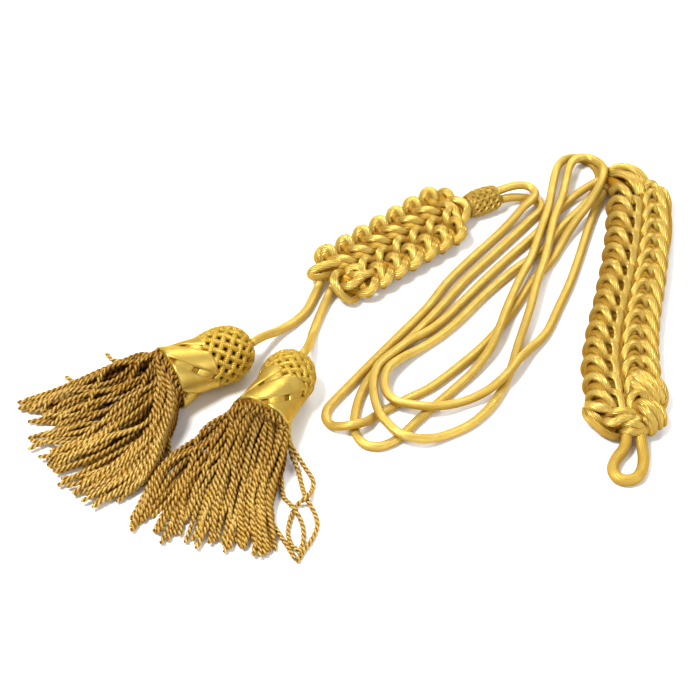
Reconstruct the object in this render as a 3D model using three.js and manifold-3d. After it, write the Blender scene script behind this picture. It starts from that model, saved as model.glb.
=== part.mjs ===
// An aiguillette: a gold cord with two tassels, a short plait, a slider, loops of plain cord,
// a long plait and a button loop, laid out on a flat surface as it is photographed.
// Millimetres, +Z up. The surface that it lies on is z = 0.
import * as THREE from "three";
import { mergeVertices } from "three/addons/utils/BufferGeometryUtils.js";
import Module from "manifold-3d";

const wasm = await Module();
wasm.setup();

// Driving dimensions

const CLEARANCE = 0.3; // left between two pieces that touch on the real thing
const FLOOR_GAP = 0.1; // under a round cord that lies on the surface
const LAYOUT_SHIFT = new THREE.Vector2(-4, 3); // from the layout's centre to the box's centre

const CORD_D = 5;
const CORD_SIDES = 8;
const LONG_CORD_STEPS = 1; // steps of the tube from one point of its route to the next
const SHORT_CORD_STEPS = 2;

const LONG_PLAIT_HEIGHT = 17;
const LONG_PLAIT_ROWS = 17;
const LONG_ROW_LEAD = 9; // how far a row's middle runs ahead of its edges
const SHORT_PLAIT_LENGTH = 94;
const SHORT_PLAIT_WIDTH = 36;
const SHORT_PLAIT_HEIGHT = 15;
const SHORT_PLAIT_ROWS = 7;
const SHORT_ROW_LEAD = 10;
const SHORT_END_SHARE = 0.72; // width at the very end beside the whole width
const GROOVE_DEPTH = 5;
const PLAIT_CREASE = 0.17;
const RINGS_PER_ROW = 4;

const SLIDER_LENGTH = 19;
const SLIDER_D = 15.5;
const SLIDER_END_D = 13.6;
const SLIDER_WALL = 1.2;
const SLIDER_HEIGHT = FLOOR_GAP + SLIDER_D / 2;
const SLIDER_PAIR_TILT = 43; // the two cords in it lie one above and behind the other
const SLIDER_CORD_SPREAD = 4; // where they leave the short plait's end
const SLIDER_CORD_END = 0.8; // how far they come out of the slider

const LOOP_D = 6.3;
const LOOP_SIDES = 10;

const HEAD_LENGTH = 29;
const HEAD_D = 31.5;
const BAND_LENGTH = 16;
const BAND_WAIST_D = 26;
const BAND_BELLY = 1.2; // how far the collar swells past its waist before it flares
const BAND_HEM_D = HEAD_D;
const FRINGE_LENGTH = 88;
const FRINGE_TIP_HEIGHT = 3;
const FRINGE_LOCK_DEPTH = 2.2;
const SOLE_DEPTH = 0.6; // how far a round tassel is pressed flat where it lies
const ROUND_SIDES = 22; // of a tassel's head and collar

// Places on the surface

const SHORT_PLAIT = { centre: [24, 75], angle: 39 };
const SLIDER = { centre: [77.5, 110.5], angle: 27 };

// The long plait's middle line, with its half width as a share of the widest one.
const LONG_PLAIT_HALF_WIDTH = 22.5;
const LONG_PLAIT_LINE = [
  { x: 163, y: 137, share: 0.56 },
  { x: 167.5, y: 121, share: 0.8 },
  { x: 168, y: 102, share: 0.84 },
  { x: 166, y: 80, share: 0.86 },
  { x: 162, y: 55, share: 0.87 },
  { x: 156.5, y: 29, share: 0.88 },
  { x: 151.5, y: 5, share: 0.93 },
  { x: 148.5, y: -18, share: 0.99 },
  { x: 148, y: -42, share: 0.97 },
  { x: 148, y: -66, share: 0.64 },
];

// The button loop's wire, from one leg under the plait's end round to the other: x, y and how
// far it is lifted off the surface.
const BUTTON_LOOP_LINE = [
  [148, -67.1, 2.5],
  [145.8, -73.5, 1],
  [141, -80.5, 0.1],
  [138.5, -87.5, 0],
  [140.3, -92.8, 0],
  [145.5, -95, 0],
  [151, -92.6, 0],
  [154.3, -86.5, 0],
  [155.5, -79, 0.1],
  [155.2, -72, 1],
  [154.8, -67.1, 2.5],
];

// Each tassel: where its cord enters, which way it points, its size beside the first one,
// and the fan of its fringe as directions and lengths of single locks.
const TASSELS = [
  {
    side: "left",
    entry: [-55.5, -9.5],
    angle: 210,
    size: 1,
    locks: [
      { turn: 197, share: 0.89 },
      { turn: 200, share: 0.93 },
      { turn: 208, share: 0.9 },
      { turn: 211, share: 0.95 },
      { turn: 219, share: 0.98 },
      { turn: 223, share: 0.98 },
      { turn: 227, share: 1 },
      { turn: 234, share: 1.02 },
      { turn: 239, share: 1 },
      { turn: 245, share: 0.86 },
      { turn: 251, share: 0.54 },
    ],
  },
  {
    side: "right",
    entry: [-27.5, -20],
    angle: 245,
    size: 0.94,
    locks: [
      { turn: 225, share: 0.64 },
      { turn: 232, share: 1.12 },
      { turn: 236, share: 1.08 },
      { turn: 240, share: 1.13 },
      { turn: 245, share: 1.07 },
      { turn: 250, share: 1.08 },
      { turn: 253, share: 1.03 },
      { turn: 257, share: 1.01 },
      { turn: 262, share: 1.01 },
      { turn: 266, share: 0.99 },
      { turn: 268, share: 0.92 },
    ],
  },
];

// The free cords' routes, read from the photograph: x, y and the layer that the cord lies in.
// Layer 0 is on the surface, and each whole layer more is over one other cord.
const LONG_CORD_A = [
  [86.5, 117.2, 1.31], [95, 121, 1.35], [102, 122.5, 1.3], [107, 120.5, 1.2], [109, 116, 1.1],
  [106.5, 111.5, 1], [101.5, 106.5, 0.8], [95, 99, 0.3], [87.5, 90, 0], [71, 70, 0],
  [55.5, 50, 0], [43.5, 30, 0], [28.5, 10, 0], [13.2, -10, 0], [2, -25, 0], [-9, -40, 0],
  [-12.5, -46, 0], [-13, -52, 0], [-10, -57, 0.1], [-4.5, -60, 0.6], [2.5, -60.5, 1],
  [8, -57, 0.6], [13, -51, 0.05], [20, -45.5, 0], [31, -38, 0], [43.5, -30, 0], [64, -10, 0],
  [73, 0, 0], [84, 15, 0], [95.5, 35, 0], [103, 49, 0], [116, 67, 0], [121.5, 78, 0.05],
  [127, 88.5, 0.35], [132.5, 96.6, 0.8], [138.5, 104.7, 1.2], [143.5, 112.5, 1.7],
  [147, 119.5, 2], [149, 125, 2.1], [150.3, 131, 2], [150.3, 136.5, 1.6], [148.3, 142.5, 1.2],
  [144.5, 147, 1], [139.5, 148.5, 1], [134.5, 146, 1], [131.3, 141, 1], [129.5, 135, 1],
  [125, 115, 1], [118.7, 95, 1], [112, 65, 1], [106, 45, 1], [101, 25, 1], [95.5, 7, 0.7],
  [92.5, -2, 0.3], [88.5, -16, 0], [82.5, -32, 0], [75, -45, 0], [64, -56.5, 0],
  [50, -64.5, 0.1], [43, -67.7, 0.45], [36, -69.3, 0.8], [30, -68.3, 1], [24.5, -65, 1],
  [20.5, -60, 1], [17, -55, 1], [14.5, -48, 1], [13, -39.8, 1], [12.8, -29.8, 1],
  [15, -19.8, 1], [18.5, -14.5, 1], [24, -8.7, 1], [33.5, 1, 0.85], [42.5, 9, 0.4],
  [52, 20, 0], [60, 30, 0], [75.5, 50, 0], [92, 70, 0], [108, 88.5, 0], [124, 110, 0],
  [132.5, 119, 0.2], [138, 122.5, 0.6], [145, 126, 1], [147.5, 127.6, 1], [150.1, 129, 1],
];
const LONG_CORD_B = [
  [88.3, 113.8, 0.63], [95, 116.5, 0.5], [102, 118, 0.15], [107.5, 117.8, 0], [111.5, 115, 0],
  [112.5, 110.5, 0], [110, 105.5, 0], [105.3, 100, 0], [97.5, 90, 0], [81, 70, 0],
  [64.7, 50, 0], [51, 30, 0], [36.3, 10, 0], [28.5, 0, 0], [19.8, -10, 0], [12.6, -20, 0],
  [7.5, -30, 0], [4.3, -40, 0], [2.2, -55, 0], [3.5, -63.5, 0], [7.5, -69.5, 0],
  [14.5, -71.5, 0], [21.5, -69, 0], [27, -64.5, 0], [36, -53.5, 0], [47, -41.5, 0],
  [57.5, -30, 0], [66, -20.5, 0.1], [73, -11, 0.35], [78, -3, 0.65], [81.3, 5, 0.9],
  [84.8, 15, 1], [88, 25, 1], [95.5, 45, 1], [104, 65, 1], [110, 85, 1], [116, 105, 1],
  [120, 125, 1], [122.5, 136, 1], [125.5, 144, 0.8], [130, 150.5, 0.35], [136.5, 153.5, 0],
  [142.5, 151, 0], [147, 145, 0], [148.7, 137, 0], [147.5, 129.5, 0], [144, 122, 0],
  [140, 115.5, 0], [135.8, 109.5, 0], [127, 99, 0], [120.5, 90, 0], [115, 80, 0],
  [105, 69.5, 0], [94, 59.5, 0], [76.5, 40, 0], [61, 20, 0], [51, 9, 0], [39.5, -1, 0.1],
  [32, -7.5, 0.4], [26, -14, 0.8], [21.5, -19.5, 1], [19, -26, 1], [18.8, -34.5, 1],
  [21, -40, 1], [25, -43.8, 1], [31, -46, 1], [42, -47.8, 1], [50, -46.5, 0.8],
  [58, -43, 0.45], [66, -39.5, 0.4], [75, -35, 0.75], [81, -30, 1], [86, -24, 1],
  [91.5, -15.5, 1], [98, -5, 0.45], [109, 10, 0], [117.5, 30, 0], [125.5, 50, 0],
  [132, 70, 0], [138, 90, 0], [143.5, 107, 0], [147.3, 115.5, 0.1], [148.6, 118.2, 0.4],
  [150.3, 121, 0.7],
];
const TASSEL_CORD_LEFT = [
  [-16.2, 48, 0.5], [-18.5, 44, 0.15], [-21, 37, 0.02], [-24.5, 28, 0.02], [-31, 19, 0.06],
  [-40, 10, 0.45], [-48, 0.5, 1.5], [-54.3, -8.8, 2.37],
];
const TASSEL_CORD_RIGHT = [
  [-10.6, 41.1, 0.5], [-12.8, 36.5, 0.15], [-15.5, 29, 0.02], [-18.5, 19, 0.02], [-21, 9, 0.12],
  [-22.5, -2, 0.9], [-25, -13, 1.9], [-27.2, -19.3, 2.2],
];

// Working with solids

function solidOf(geometry) {
  const bare = geometry.clone();
  bare.deleteAttribute("normal");
  bare.deleteAttribute("uv");
  const merged = mergeVertices(bare, 1e-4);
  const triVerts = new Uint32Array(merged.index.array);
  const vertProperties = new Float32Array(merged.attributes.position.array);
  return new wasm.Manifold(new wasm.Mesh({ numProp: 3, vertProperties, triVerts }));
}

function geometryOf(solid) {
  const mesh = solid.getMesh();
  const geometry = new THREE.BufferGeometry();
  geometry.setAttribute("position", new THREE.BufferAttribute(new Float32Array(mesh.vertProperties), 3));
  geometry.setIndex(new THREE.BufferAttribute(new Uint32Array(mesh.triVerts), 1));
  geometry.computeVertexNormals();
  return geometry;
}

// The triangles that close a ring: a fan for a round one, or strips across a flat one whose
// second half runs back under the first.
function fanCap(count) {
  const triangles = [];
  for (let i = 1; i + 1 < count; i += 1) triangles.push([0, i, i + 1]);
  return triangles;
}

function stripCap(count) {
  const triangles = [];
  for (let i = 0; i + 1 < count / 2; i += 1) {
    const [a, b, c, d] = [i, i + 1, count - 2 - i, count - 1 - i];
    triangles.push([a, b, c], [a, c, d]);
  }
  return triangles;
}

// A closed body from rings of equally many points.
function loft(rings, capOf) {
  const count = rings[0].length;
  const index = [];
  for (let r = 0; r + 1 < rings.length; r += 1) {
    for (let i = 0; i < count; i += 1) {
      const a = r * count + i;
      const b = r * count + ((i + 1) % count);
      index.push(a, b, b + count, a, b + count, a + count);
    }
  }
  const last = (rings.length - 1) * count;
  for (const [a, b, c] of capOf(count)) index.push(a, c, b, last + a, last + b, last + c);
  const geometry = new THREE.BufferGeometry().setFromPoints(rings.flat());
  geometry.setIndex(index);
  return geometry;
}

// A curve that is walked by its own points, so that close points give close steps.
class PointedCurve extends THREE.CatmullRomCurve3 {
  getPointAt(u, target) {
    return this.getPoint(u, target);
  }

  getTangentAt(u, target) {
    return this.getTangent(u, target);
  }
}

function tube(points, diameter, sides, stepsPerPoint) {
  const section = new THREE.Shape();
  for (let i = 0; i < sides; i += 1) {
    const turn = (2 * Math.PI * i) / sides;
    const corner = [(diameter / 2) * Math.cos(turn), (diameter / 2) * Math.sin(turn)];
    if (i === 0) section.moveTo(...corner);
    else section.lineTo(...corner);
  }
  section.closePath();
  return new THREE.ExtrudeGeometry(section, {
    steps: (points.length - 1) * stepsPerPoint,
    bevelEnabled: false,
    extrudePath: new PointedCurve(points),
  });
}

function cordHeight(layer) {
  return FLOOR_GAP + CORD_D / 2 + layer * (CORD_D + CLEARANCE);
}

function freeCord(route, stepsPerPoint) {
  const points = route.map(([x, y, layer]) => new THREE.Vector3(x, y, cordHeight(layer)));
  return tube(points, CORD_D, CORD_SIDES, stepsPerPoint);
}

function material(color, roughness) {
  return new THREE.MeshStandardMaterial({ color, roughness, metalness: 0.6 });
}

function piece(name, geometry, color, roughness) {
  const mesh = new THREE.Mesh(geometry, material(color, roughness));
  mesh.name = name;
  return mesh;
}

const radians = THREE.MathUtils.degToRad;

// Plaits: a body with two ribs and a groove, cut into rows of round bights

// Half of a plait's section, from the sole's edge over the rib to the groove, as shares of its
// half width and height.
const RIB_OUTLINE = [
  { side: 0.7, up: 0 },
  { side: 0.94, up: 0.2 },
  { side: 1, up: 0.48 },
  { side: 0.86, up: 0.8 },
  { side: 0.54, up: 1 },
  { side: 0.2, up: 0.92 },
];

// The crease between two rows draws the section in, and each row is round between its creases.
function rowSwell(phase) {
  const across = 2 * (phase - Math.floor(phase)) - 1;
  return 1 - PLAIT_CREASE * (1 - Math.sqrt(Math.max(0, 1 - across * across)));
}

// One ring of the body. Its middle runs ahead of its edges, which gives the rows their V.
function plaitRing(centre, along, halfWidth, height, swell, lead) {
  const left = RIB_OUTLINE.map(({ side, up }) => ({ side: -side, up }));
  const groove = { side: 0, up: 1 - GROOVE_DEPTH / height };
  const outline = [...left, groove, ...RIB_OUTLINE.slice().reverse()];
  return outline.map(({ side, up }) => {
    const beside = -side * halfWidth * swell;
    const ahead = lead * (1 - Math.abs(side));
    return new THREE.Vector3(
      centre.x - along.y * beside + along.x * ahead,
      centre.y + along.x * beside + along.y * ahead,
      up * height * swell,
    );
  });
}

function plait(line, halfWidthAt, height, rows, lead) {
  const rings = [];
  const count = rows * RINGS_PER_ROW;
  for (let i = 0; i <= count; i += 1) {
    const share = i / count;
    const swell = rowSwell(i / RINGS_PER_ROW);
    const fromEnd = Math.min(share, 1 - share) * rows;
    const ringLead = lead * Math.min(1, fromEnd);
    const centre = line.getPointAt(share);
    const along = line.getTangentAt(share);
    rings.push(plaitRing(centre, along, halfWidthAt(share), height, swell, ringLead));
  }
  return loft(rings, fanCap);
}

function longPlait() {
  const line = new THREE.CatmullRomCurve3(LONG_PLAIT_LINE.map(({ x, y }) => new THREE.Vector3(x, y, 0)));
  const halfWidthAt = (share) => {
    const place = share * (LONG_PLAIT_LINE.length - 1);
    const from = Math.min(Math.floor(place), LONG_PLAIT_LINE.length - 2);
    const [near, far] = [LONG_PLAIT_LINE[from].share, LONG_PLAIT_LINE[from + 1].share];
    return LONG_PLAIT_HALF_WIDTH * THREE.MathUtils.lerp(near, far, place - from);
  };
  return plait(line, halfWidthAt, LONG_PLAIT_HEIGHT, LONG_PLAIT_ROWS, LONG_ROW_LEAD);
}

// A place along the short plait's axis, measured from its middle, and beside it.
function shortPlaitPoint(along, beside) {
  const angle = radians(SHORT_PLAIT.angle);
  const [x, y] = SHORT_PLAIT.centre;
  return new THREE.Vector3(
    x + along * Math.cos(angle) - beside * Math.sin(angle),
    y + along * Math.sin(angle) + beside * Math.cos(angle),
    0,
  );
}

function shortPlait() {
  const half = SHORT_PLAIT_LENGTH / 2;
  const line = new THREE.LineCurve3(shortPlaitPoint(-half, 0), shortPlaitPoint(half, 0));
  const halfWidthAt = (share) => {
    const fromEnd = Math.min(share, 1 - share) * SHORT_PLAIT_ROWS;
    const rounding = Math.min(1, SHORT_END_SHARE + (1 - SHORT_END_SHARE) * 2 * fromEnd);
    return (SHORT_PLAIT_WIDTH / 2) * rounding;
  };
  return plait(line, halfWidthAt, SHORT_PLAIT_HEIGHT, SHORT_PLAIT_ROWS, SHORT_ROW_LEAD);
}

// Slider: a barrel knot round the doubled cord

// A place along the slider's axis, measured from its middle, and beside it.
function sliderPoint(along, beside, height) {
  const angle = radians(SLIDER.angle);
  const [x, y] = SLIDER.centre;
  return new THREE.Vector3(
    x + along * Math.cos(angle) - beside * Math.sin(angle),
    y + along * Math.sin(angle) + beside * Math.cos(angle),
    height,
  );
}

function sliderKnot() {
  const half = SLIDER_LENGTH / 2;
  const hole = SLIDER_END_D / 2 - SLIDER_WALL;
  const profile = [
    [hole, -half],
    [SLIDER_END_D / 2, -half],
    [SLIDER_D / 2, -half / 3],
    [SLIDER_D / 2, half / 3],
    [SLIDER_END_D / 2, half],
    [hole, half],
    [hole, -half],
  ];
  const barrel = new THREE.LatheGeometry(
    profile.map(([r, a]) => new THREE.Vector2(r, a)),
    20,
  );
  barrel.rotateZ(-Math.PI / 2);
  barrel.rotateZ(radians(SLIDER.angle));
  const [x, y] = SLIDER.centre;
  barrel.translate(x, y, SLIDER_HEIGHT);
  return barrel;
}

// One of the two cords that come out of the short plait's end and run through the slider,
// the upper one with sign 1 and the lower one with sign -1.
function sliderCord(sign) {
  const apart = (CORD_D + CLEARANCE) / 2;
  const beside = sign * apart * Math.cos(radians(SLIDER_PAIR_TILT));
  const height = SLIDER_HEIGHT + sign * apart * Math.sin(radians(SLIDER_PAIR_TILT));
  const half = SLIDER_LENGTH / 2;
  const face = SHORT_PLAIT_LENGTH / 2 + CLEARANCE;
  const root = shortPlaitPoint(face, sign * SLIDER_CORD_SPREAD);
  const out = shortPlaitPoint(face + CORD_D / 4, sign * SLIDER_CORD_SPREAD);
  root.z = height;
  out.z = height;
  const points = [
    sliderPoint(half + SLIDER_CORD_END, beside, height),
    sliderPoint(0, beside, height),
    sliderPoint(-half - CORD_D / 2, beside, height),
    out,
    root,
  ];
  return tube(points, CORD_D, CORD_SIDES, SHORT_CORD_STEPS);
}

// Button loop

function buttonLoop() {
  const low = FLOOR_GAP + LOOP_D / 2;
  const points = BUTTON_LOOP_LINE.map(([x, y, lift]) => new THREE.Vector3(x, y, low + lift));
  return tube(points, LOOP_D, LOOP_SIDES, SHORT_CORD_STEPS);
}

// Tassels

// What lies under the surface, and is cut away from a round body that is pressed flat on it.
const UNDERGROUND = new THREE.BoxGeometry(400, 400, 100).translate(0, 0, -50);

// Turns a body made along +Y from the origin so that it lies at the tassel's place.
function layTassel(geometry, tassel) {
  const lying = geometry.clone();
  lying.scale(tassel.size, tassel.size, tassel.size);
  lying.rotateZ(radians(tassel.angle - 90));
  lying.translate(tassel.entry[0], tassel.entry[1], tasselAxisHeight(tassel));
  return geometryOf(solidOf(lying).subtract(solidOf(UNDERGROUND)));
}

function tasselAxisHeight(tassel) {
  return (HEAD_D / 2 - SOLE_DEPTH) * tassel.size;
}

// The dome's outline from the cord's entry to the waist, as shares of its length and of half
// its diameter.
const DOME_OUTLINE = [
  { along: 0, out: 0 },
  { along: 0.012, out: 0.38 },
  { along: 0.1, out: 0.66 },
  { along: 0.26, out: 0.88 },
  { along: 0.5, out: 1 },
  { along: 0.74, out: 0.97 },
  { along: 1, out: BAND_WAIST_D / HEAD_D },
  { along: 1, out: 0 },
];

function turned(outline) {
  const points = outline.map(([out, along]) => new THREE.Vector2(out, along));
  return new THREE.LatheGeometry(points, ROUND_SIDES);
}

function tasselHead(tassel) {
  const outline = DOME_OUTLINE.map(({ along, out }) => [(out * HEAD_D) / 2, along * HEAD_LENGTH]);
  return layTassel(turned(outline), tassel);
}

// The band is the collar of crossed strips between the netting and the fringe.
function tasselBand(tassel) {
  const start = HEAD_LENGTH + CLEARANCE;
  const end = start + BAND_LENGTH;
  const outline = [
    [0, start],
    [BAND_WAIST_D / 2, start],
    [BAND_WAIST_D / 2 + BAND_BELLY, (start + end) / 2],
    [BAND_HEM_D / 2, end],
    [0, end],
  ];
  return layTassel(turned(outline), tassel);
}

const FRINGE_ROWS = 7; // rings along its length
const FRINGE_INSET = 0.93; // how far out on the hem the outermost strands start
const FRINGE_TOP = 0.94; // how high on the hem the uppermost strands start
const FRINGE_BEND_START = 0.55; // the share of its own direction that a lock has at the hem
const FRINGE_FALL = 1.7; // the power by which the top falls towards the tips
const VALLEY_REACH = 0.93; // the length of the valleys between locks beside their crests
const VALLEY_END = 0.6; // the tips' height in a valley beside that on a crest
const VALLEY_START = 1 / 3; // where along the fringe the valleys have their whole depth

// The fringe is one body of locks that leaves the band round and fans out flat.
function tasselFringe(tassel) {
  const angle = radians(tassel.angle);
  const start = (HEAD_LENGTH + BAND_LENGTH + 2 * CLEARANCE) * tassel.size;
  const origin = new THREE.Vector2(
    tassel.entry[0] + start * Math.cos(angle),
    tassel.entry[1] + start * Math.sin(angle),
  );
  const hem = (BAND_HEM_D / 2) * tassel.size;
  const axisHeight = tasselAxisHeight(tassel);
  const columns = tassel.locks.length * 2;
  const columnAt = (k) => {
    const place = (k / columns) * (tassel.locks.length - 1);
    const from = Math.min(Math.floor(place), tassel.locks.length - 2);
    const [near, far] = [tassel.locks[from], tassel.locks[from + 1]];
    const crest = k % 2;
    const share = THREE.MathUtils.lerp(near.share, far.share, place - from);
    return {
      turn: radians(THREE.MathUtils.lerp(near.turn, far.turn, place - from)),
      reach: FRINGE_LENGTH * tassel.size * share * (crest ? 1 : VALLEY_REACH),
      beside: ((2 * k) / columns - 1) * FRINGE_INSET * hem,
      crest,
    };
  };
  const pointAt = (k, s, top) => {
    const { turn, reach, beside, crest } = columnAt(k);
    const bend = angle + (turn - angle) * Math.min(1, FRINGE_BEND_START + s);
    const x = origin.x - beside * Math.sin(angle) + s * reach * Math.cos(bend);
    const y = origin.y + beside * Math.cos(angle) + s * reach * Math.sin(bend);
    if (!top) return new THREE.Vector3(x, y, 0);
    const round = axisHeight + Math.sqrt(hem * hem - beside * beside) * FRINGE_TOP;
    const fall = (1 - s) ** FRINGE_FALL;
    const dip = crest ? 0 : FRINGE_LOCK_DEPTH * Math.min(1, s / VALLEY_START);
    const height = FRINGE_TIP_HEIGHT + (round - FRINGE_TIP_HEIGHT) * fall - dip;
    return new THREE.Vector3(x, y, Math.max(FRINGE_TIP_HEIGHT * VALLEY_END, height));
  };
  const rings = [];
  for (let r = 0; r <= FRINGE_ROWS; r += 1) {
    const s = r / FRINGE_ROWS;
    const upper = [];
    const lower = [];
    for (let k = 0; k <= columns; k += 1) {
      upper.push(pointAt(k, s, true));
      lower.push(pointAt(k, s, false));
    }
    rings.push([...lower, ...upper.reverse()]);
  }
  return loft(rings, stripCap);
}

// Assembly

const GOLD = 0xd9a83a;
const GOLD_LIGHT = 0xe6bd52;
const GOLD_DARK = 0xa87828;

const group = new THREE.Group();
group.position.set(LAYOUT_SHIFT.x, LAYOUT_SHIFT.y, 0);
group.add(piece("long_plait", longPlait(), GOLD, 0.5));
group.add(piece("button_loop", buttonLoop(), GOLD, 0.45));
group.add(piece("short_plait", shortPlait(), GOLD, 0.5));
group.add(piece("slider_knot", sliderKnot(), GOLD, 0.5));
group.add(piece("slider_cord_upper", sliderCord(1), GOLD_LIGHT, 0.45));
group.add(piece("slider_cord_lower", sliderCord(-1), GOLD_LIGHT, 0.45));
group.add(piece("long_cord_a", freeCord(LONG_CORD_A, LONG_CORD_STEPS), GOLD_LIGHT, 0.45));
group.add(piece("long_cord_b", freeCord(LONG_CORD_B, LONG_CORD_STEPS), GOLD_LIGHT, 0.45));
for (const tassel of TASSELS) {
  const route = tassel.side === "left" ? TASSEL_CORD_LEFT : TASSEL_CORD_RIGHT;
  group.add(piece(`tassel_cord_${tassel.side}`, freeCord(route, SHORT_CORD_STEPS), GOLD_LIGHT, 0.45));
  group.add(piece(`tassel_head_${tassel.side}`, tasselHead(tassel), GOLD, 0.55));
  group.add(piece(`tassel_band_${tassel.side}`, tasselBand(tassel), GOLD_LIGHT, 0.35));
  group.add(piece(`tassel_fringe_${tassel.side}`, tasselFringe(tassel), GOLD_DARK, 0.6));
}

export default group;
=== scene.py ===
# %% [markdown]
# An aiguillette is a dress cord of gold gimp: thin metal thread wound over a soft core. This one
# has two bullion tassels, a short plait, a woven slider, a long run of plain cord laid in loops,
# and a long plait that ends in a button loop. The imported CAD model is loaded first, because it
# says where every piece lies. Everything below is built round it, in metres.

# %% Load the frame
import math
import random

import bpy
import numpy as np
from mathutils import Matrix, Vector


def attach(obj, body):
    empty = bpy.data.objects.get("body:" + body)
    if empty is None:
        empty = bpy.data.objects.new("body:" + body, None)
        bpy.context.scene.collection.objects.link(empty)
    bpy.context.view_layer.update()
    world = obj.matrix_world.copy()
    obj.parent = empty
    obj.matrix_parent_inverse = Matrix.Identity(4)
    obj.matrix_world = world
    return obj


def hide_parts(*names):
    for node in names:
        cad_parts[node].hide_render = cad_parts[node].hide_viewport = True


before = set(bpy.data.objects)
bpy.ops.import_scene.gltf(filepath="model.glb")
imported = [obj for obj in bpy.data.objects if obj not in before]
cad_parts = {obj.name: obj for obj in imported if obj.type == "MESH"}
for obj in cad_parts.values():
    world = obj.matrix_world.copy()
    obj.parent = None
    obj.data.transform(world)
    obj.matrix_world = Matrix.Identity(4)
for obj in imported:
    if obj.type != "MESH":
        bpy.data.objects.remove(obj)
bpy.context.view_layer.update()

# %% [markdown]
# The photograph looks down at the cord from a little more than halfway up, through a long lens.
# The camera could be placed by eye, but the angle was worked out from the loops' own shape, so
# that every route read from the picture falls on its place again. The routes stay in the layout's
# own millimetres, and LAYOUT_SHIFT moves them to their place in the frame.

# %% Camera
MM = 0.001
LAYOUT_SHIFT = np.array([-4.0, 3.0])
CAMERA_ELEVATION = math.radians(48)
CAMERA_DISTANCE = 1.2

camera_data = bpy.data.cameras.new("camera")
camera_data.sensor_width = 36
camera_data.lens = 111.1
camera = bpy.data.objects.new("camera", camera_data)
bpy.context.scene.collection.objects.link(camera)
target = Vector((LAYOUT_SHIFT[0] * MM, LAYOUT_SHIFT[1] * MM, 0))
back = Vector((0, -math.cos(CAMERA_ELEVATION), math.sin(CAMERA_ELEVATION)))
camera.location = target + back * CAMERA_DISTANCE
camera.rotation_mode = "QUATERNION"
camera.rotation_quaternion = (-back).to_track_quat("-Z", "Y")
bpy.context.scene.camera = camera
print("camera at", [round(v, 4) for v in camera.location])

# %% [markdown]
# All of it is cord, so one tool makes nearly every piece: a section swept along a line. A curve
# object with a bevel would do for plain cord, but it can't twist its section or shrink it where a
# strand dives into a plait. So the sweep is written out as a mesh, with the way along the cord
# and the way round it kept in the mesh's UV map for the thread pattern.

# %% A smooth line through points, and the same line in even steps
def smooth_line(points, per_span=8):
    """A centripetal Catmull-Rom curve, the one that the CAD tubes follow."""
    p = np.array(points, float)
    p = np.vstack([2 * p[0] - p[1], p, 2 * p[-1] - p[-2]])
    gap = np.linalg.norm(np.diff(p, axis=0), axis=1) ** 0.5
    parts = []
    for i in range(1, len(p) - 2):
        a, b, c, d = p[i - 1:i + 3]
        g0, g1, g2 = gap[i - 1:i + 2]
        out = ((b - a) / g0 - (c - a) / (g0 + g1) + (c - b) / g1) * g1
        into = ((c - b) / g1 - (d - b) / (g1 + g2) + (d - c) / g2) * g1
        t = np.linspace(0, 1, per_span, endpoint=False)[:, None]
        parts.append((2 * t**3 - 3 * t**2 + 1) * b + (t**3 - 2 * t**2 + t) * out
                     + (3 * t**2 - 2 * t**3) * c + (t**3 - t**2) * into)
    parts.append(p[-2:-1])
    return np.vstack(parts)


def way_along(line):
    return np.concatenate([[0], np.cumsum(np.linalg.norm(np.diff(line, axis=0), axis=1))])


def even_line(line, step):
    way = way_along(line)
    count = max(4, int(round(way[-1] / step)) + 1)
    places = np.linspace(0, way[-1], count)
    return np.stack([np.interp(places, way, line[:, k]) for k in range(line.shape[1])], axis=1)


def unit(v):
    return v / np.maximum(np.linalg.norm(v, axis=-1, keepdims=True), 1e-12)


def carried_frames(line):
    """A side and an up direction at each point, turned as little as can be along the line."""
    tangent = unit(np.gradient(line, axis=0))
    side = np.cross(tangent[0], [0, 0, 1.0])
    if np.linalg.norm(side) < 1e-3:
        side = np.array([1.0, 0, 0])
    sides = np.empty_like(line)
    for i, t in enumerate(tangent):
        side = side - side.dot(t) * t
        side = side / np.linalg.norm(side)
        sides[i] = side
    return sides, np.cross(sides, tangent)


# %% The sections that strands can have
def side_turns(sides):
    return np.arange(sides) * 2 * np.pi / sides


def round_section(sides):
    turn = side_turns(sides)
    return np.stack([np.cos(turn), np.sin(turn)], axis=1)


def twisted_section(sides, waist):
    """Two plies side by side: a peanut that turns along the strand."""
    turn = side_turns(sides)
    reach = waist + (1 - waist) * np.abs(np.cos(turn))
    return np.stack([reach * np.cos(turn), reach * np.sin(turn)], axis=1)


def underside_shade(sides, strength):
    """How much painted shade each side of a lying cord gets: none on top, darker brown towards the
    surface.
    """
    return strength * np.clip(0.5 - 0.9 * np.sin(side_turns(sides)), 0, 1)


# %% The sweep, which gathers many strands into one mesh
PRESSED_FLAT = 0.05


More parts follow.
